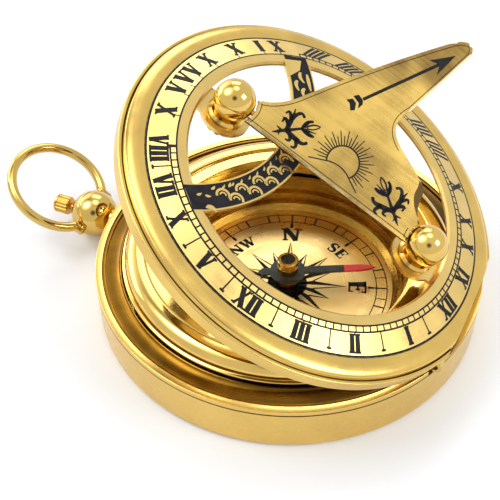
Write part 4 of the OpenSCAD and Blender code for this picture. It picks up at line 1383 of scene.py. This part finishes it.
class SUNDIAL_OT_stage(Operator):
    """Sets the camera, the lamps, the world and the table"""
    bl_idname = "sundial.stage"
    bl_label = "Stage"

    def execute(self, context):
        scene, stage = context.scene, context.scene.sundial_stage
        scene.view_settings.view_transform = "Standard"
        az, el = stage.azimuth, stage.elevation
        back = Vector((math.sin(az) * math.cos(el), -math.cos(az) * math.cos(el), math.sin(el)))
        right = Vector((math.cos(az), math.sin(az), 0))
        up = back.cross(right)
        turn = Matrix.Rotation(stage.roll, 3, back)
        right, up = turn @ right, turn @ up
        camera = new_object("camera", bpy.data.cameras.new("camera"))
        facing = Matrix((right, up, back)).transposed().to_4x4()
        camera.matrix_world = Matrix.Translation(stage.camera) @ facing
        camera.data.lens = stage.lens
        camera.data.sensor_width = 36
        camera.data.sensor_fit = "HORIZONTAL"
        camera.data.clip_start = 0.005
        scene.camera = camera

        world = bpy.data.worlds.new("studio")
        world.use_nodes = True
        tree = world.node_tree
        feed(tree, tree.nodes["Background"], {"Color": (1, 1, 1, 1), "Strength": studio_walls(tree)})
        scene.world = world

        # Name, power in watts, width and length, and place, in metres
        for lamp in (("key", 0.7, (0.34, 0.2), (-0.53, 0.08, 0.2)),
                     ("top", 0.75, (0.24, 0.22), (-0.30, -0.12, 0.50)),
                     ("back", 0.5, (0.3, 0.24), (-0.16, 0.44, 0.42)),
                     ("fill", 0.8, (0.2, 0.2), (0.45, 0.02, 0.34))):
            add_lamp(*lamp)

        bm = bmesh.new()
        bmesh.ops.create_grid(bm, x_segments=1, y_segments=1, size=3)
        table = new_object("table", new_mesh("table", bm))
        # A hair below the case, so that their faces don't meet
        table.location = (0, 0, -0.02 * MM)
        table.data.materials.append(table_finish())
        return {"FINISHED"}


def table_finish():
    # Matt white board: a little of its own light where it is seen, so that it stays white
    material, tree, shader = new_material("white board, matt")
    path = add(tree, "LightPath").node
    in_metal = add(tree, "Math", {0: path.outputs["Is Glossy Ray"], 1: 0.05}, operation="MULTIPLY")
    place = add(tree, "TexCoord", output="Object")
    away = add(tree, "VectorMath", {0: place}, "Value", operation="LENGTH")
    # The lamps fade past half a metre, and the board's own light takes over
    own_light = add(tree, "MapRange", {"Value": away, "From Min": 0.15, "From Max": 0.5, "To Min": 0.05,
                                       "To Max": 0.35})
    glow = add(tree, "Mix", {"Factor": seen_by_camera(path), "A": in_metal, "B": own_light}, "Result")
    feed(tree, shader, {"Base Color": (*palette().floor, 1), "Roughness": 0.9, "Specular IOR Level": 0.0,
                        "Emission Color": (1, 1, 1, 1), "Emission Strength": glow})
    return material


OPERATORS = (
    SUNDIAL_OT_stage, SUNDIAL_OT_fittings, SUNDIAL_OT_case, SUNDIAL_OT_seat, SUNDIAL_OT_drum,
    SUNDIAL_OT_rose, SUNDIAL_OT_needle, SUNDIAL_OT_lid_rim, SUNDIAL_OT_hours,
    SUNDIAL_OT_crossbar, SUNDIAL_OT_gnomon, SUNDIAL_OT_engraving,
)


class SUNDIAL_PT_pieces(Panel):
    """Lists the pieces in the order in which they are made"""
    bl_idname = "SUNDIAL_PT_pieces"
    bl_label = "Sundial compass"
    bl_space_type = "VIEW_3D"
    bl_region_type = "UI"
    bl_category = "Sundial"

    def draw(self, context):
        for operator in OPERATORS:
            self.layout.operator(operator.bl_idname)
        for key, group in GROUPS.items():
            box = self.layout.box()
            for name in group.__annotations__:
                box.prop(getattr(context.scene, key), name)


def register():
    for kind in (*GROUPS.values(), *OPERATORS, SUNDIAL_PT_pieces):
        bpy.utils.register_class(kind)
    for key, group in GROUPS.items():
        setattr(bpy.types.Scene, key, PointerProperty(type=group))


def unregister():
    for key in GROUPS:
        delattr(bpy.types.Scene, key)
    for kind in reversed((*GROUPS.values(), *OPERATORS, SUNDIAL_PT_pieces)):
        bpy.utils.unregister_class(kind)


def main():
    register()
    for operator in OPERATORS:
        group, name = operator.bl_idname.split(".")
        getattr(getattr(bpy.ops, group), name)()


if __name__ == "__main__":
    main()
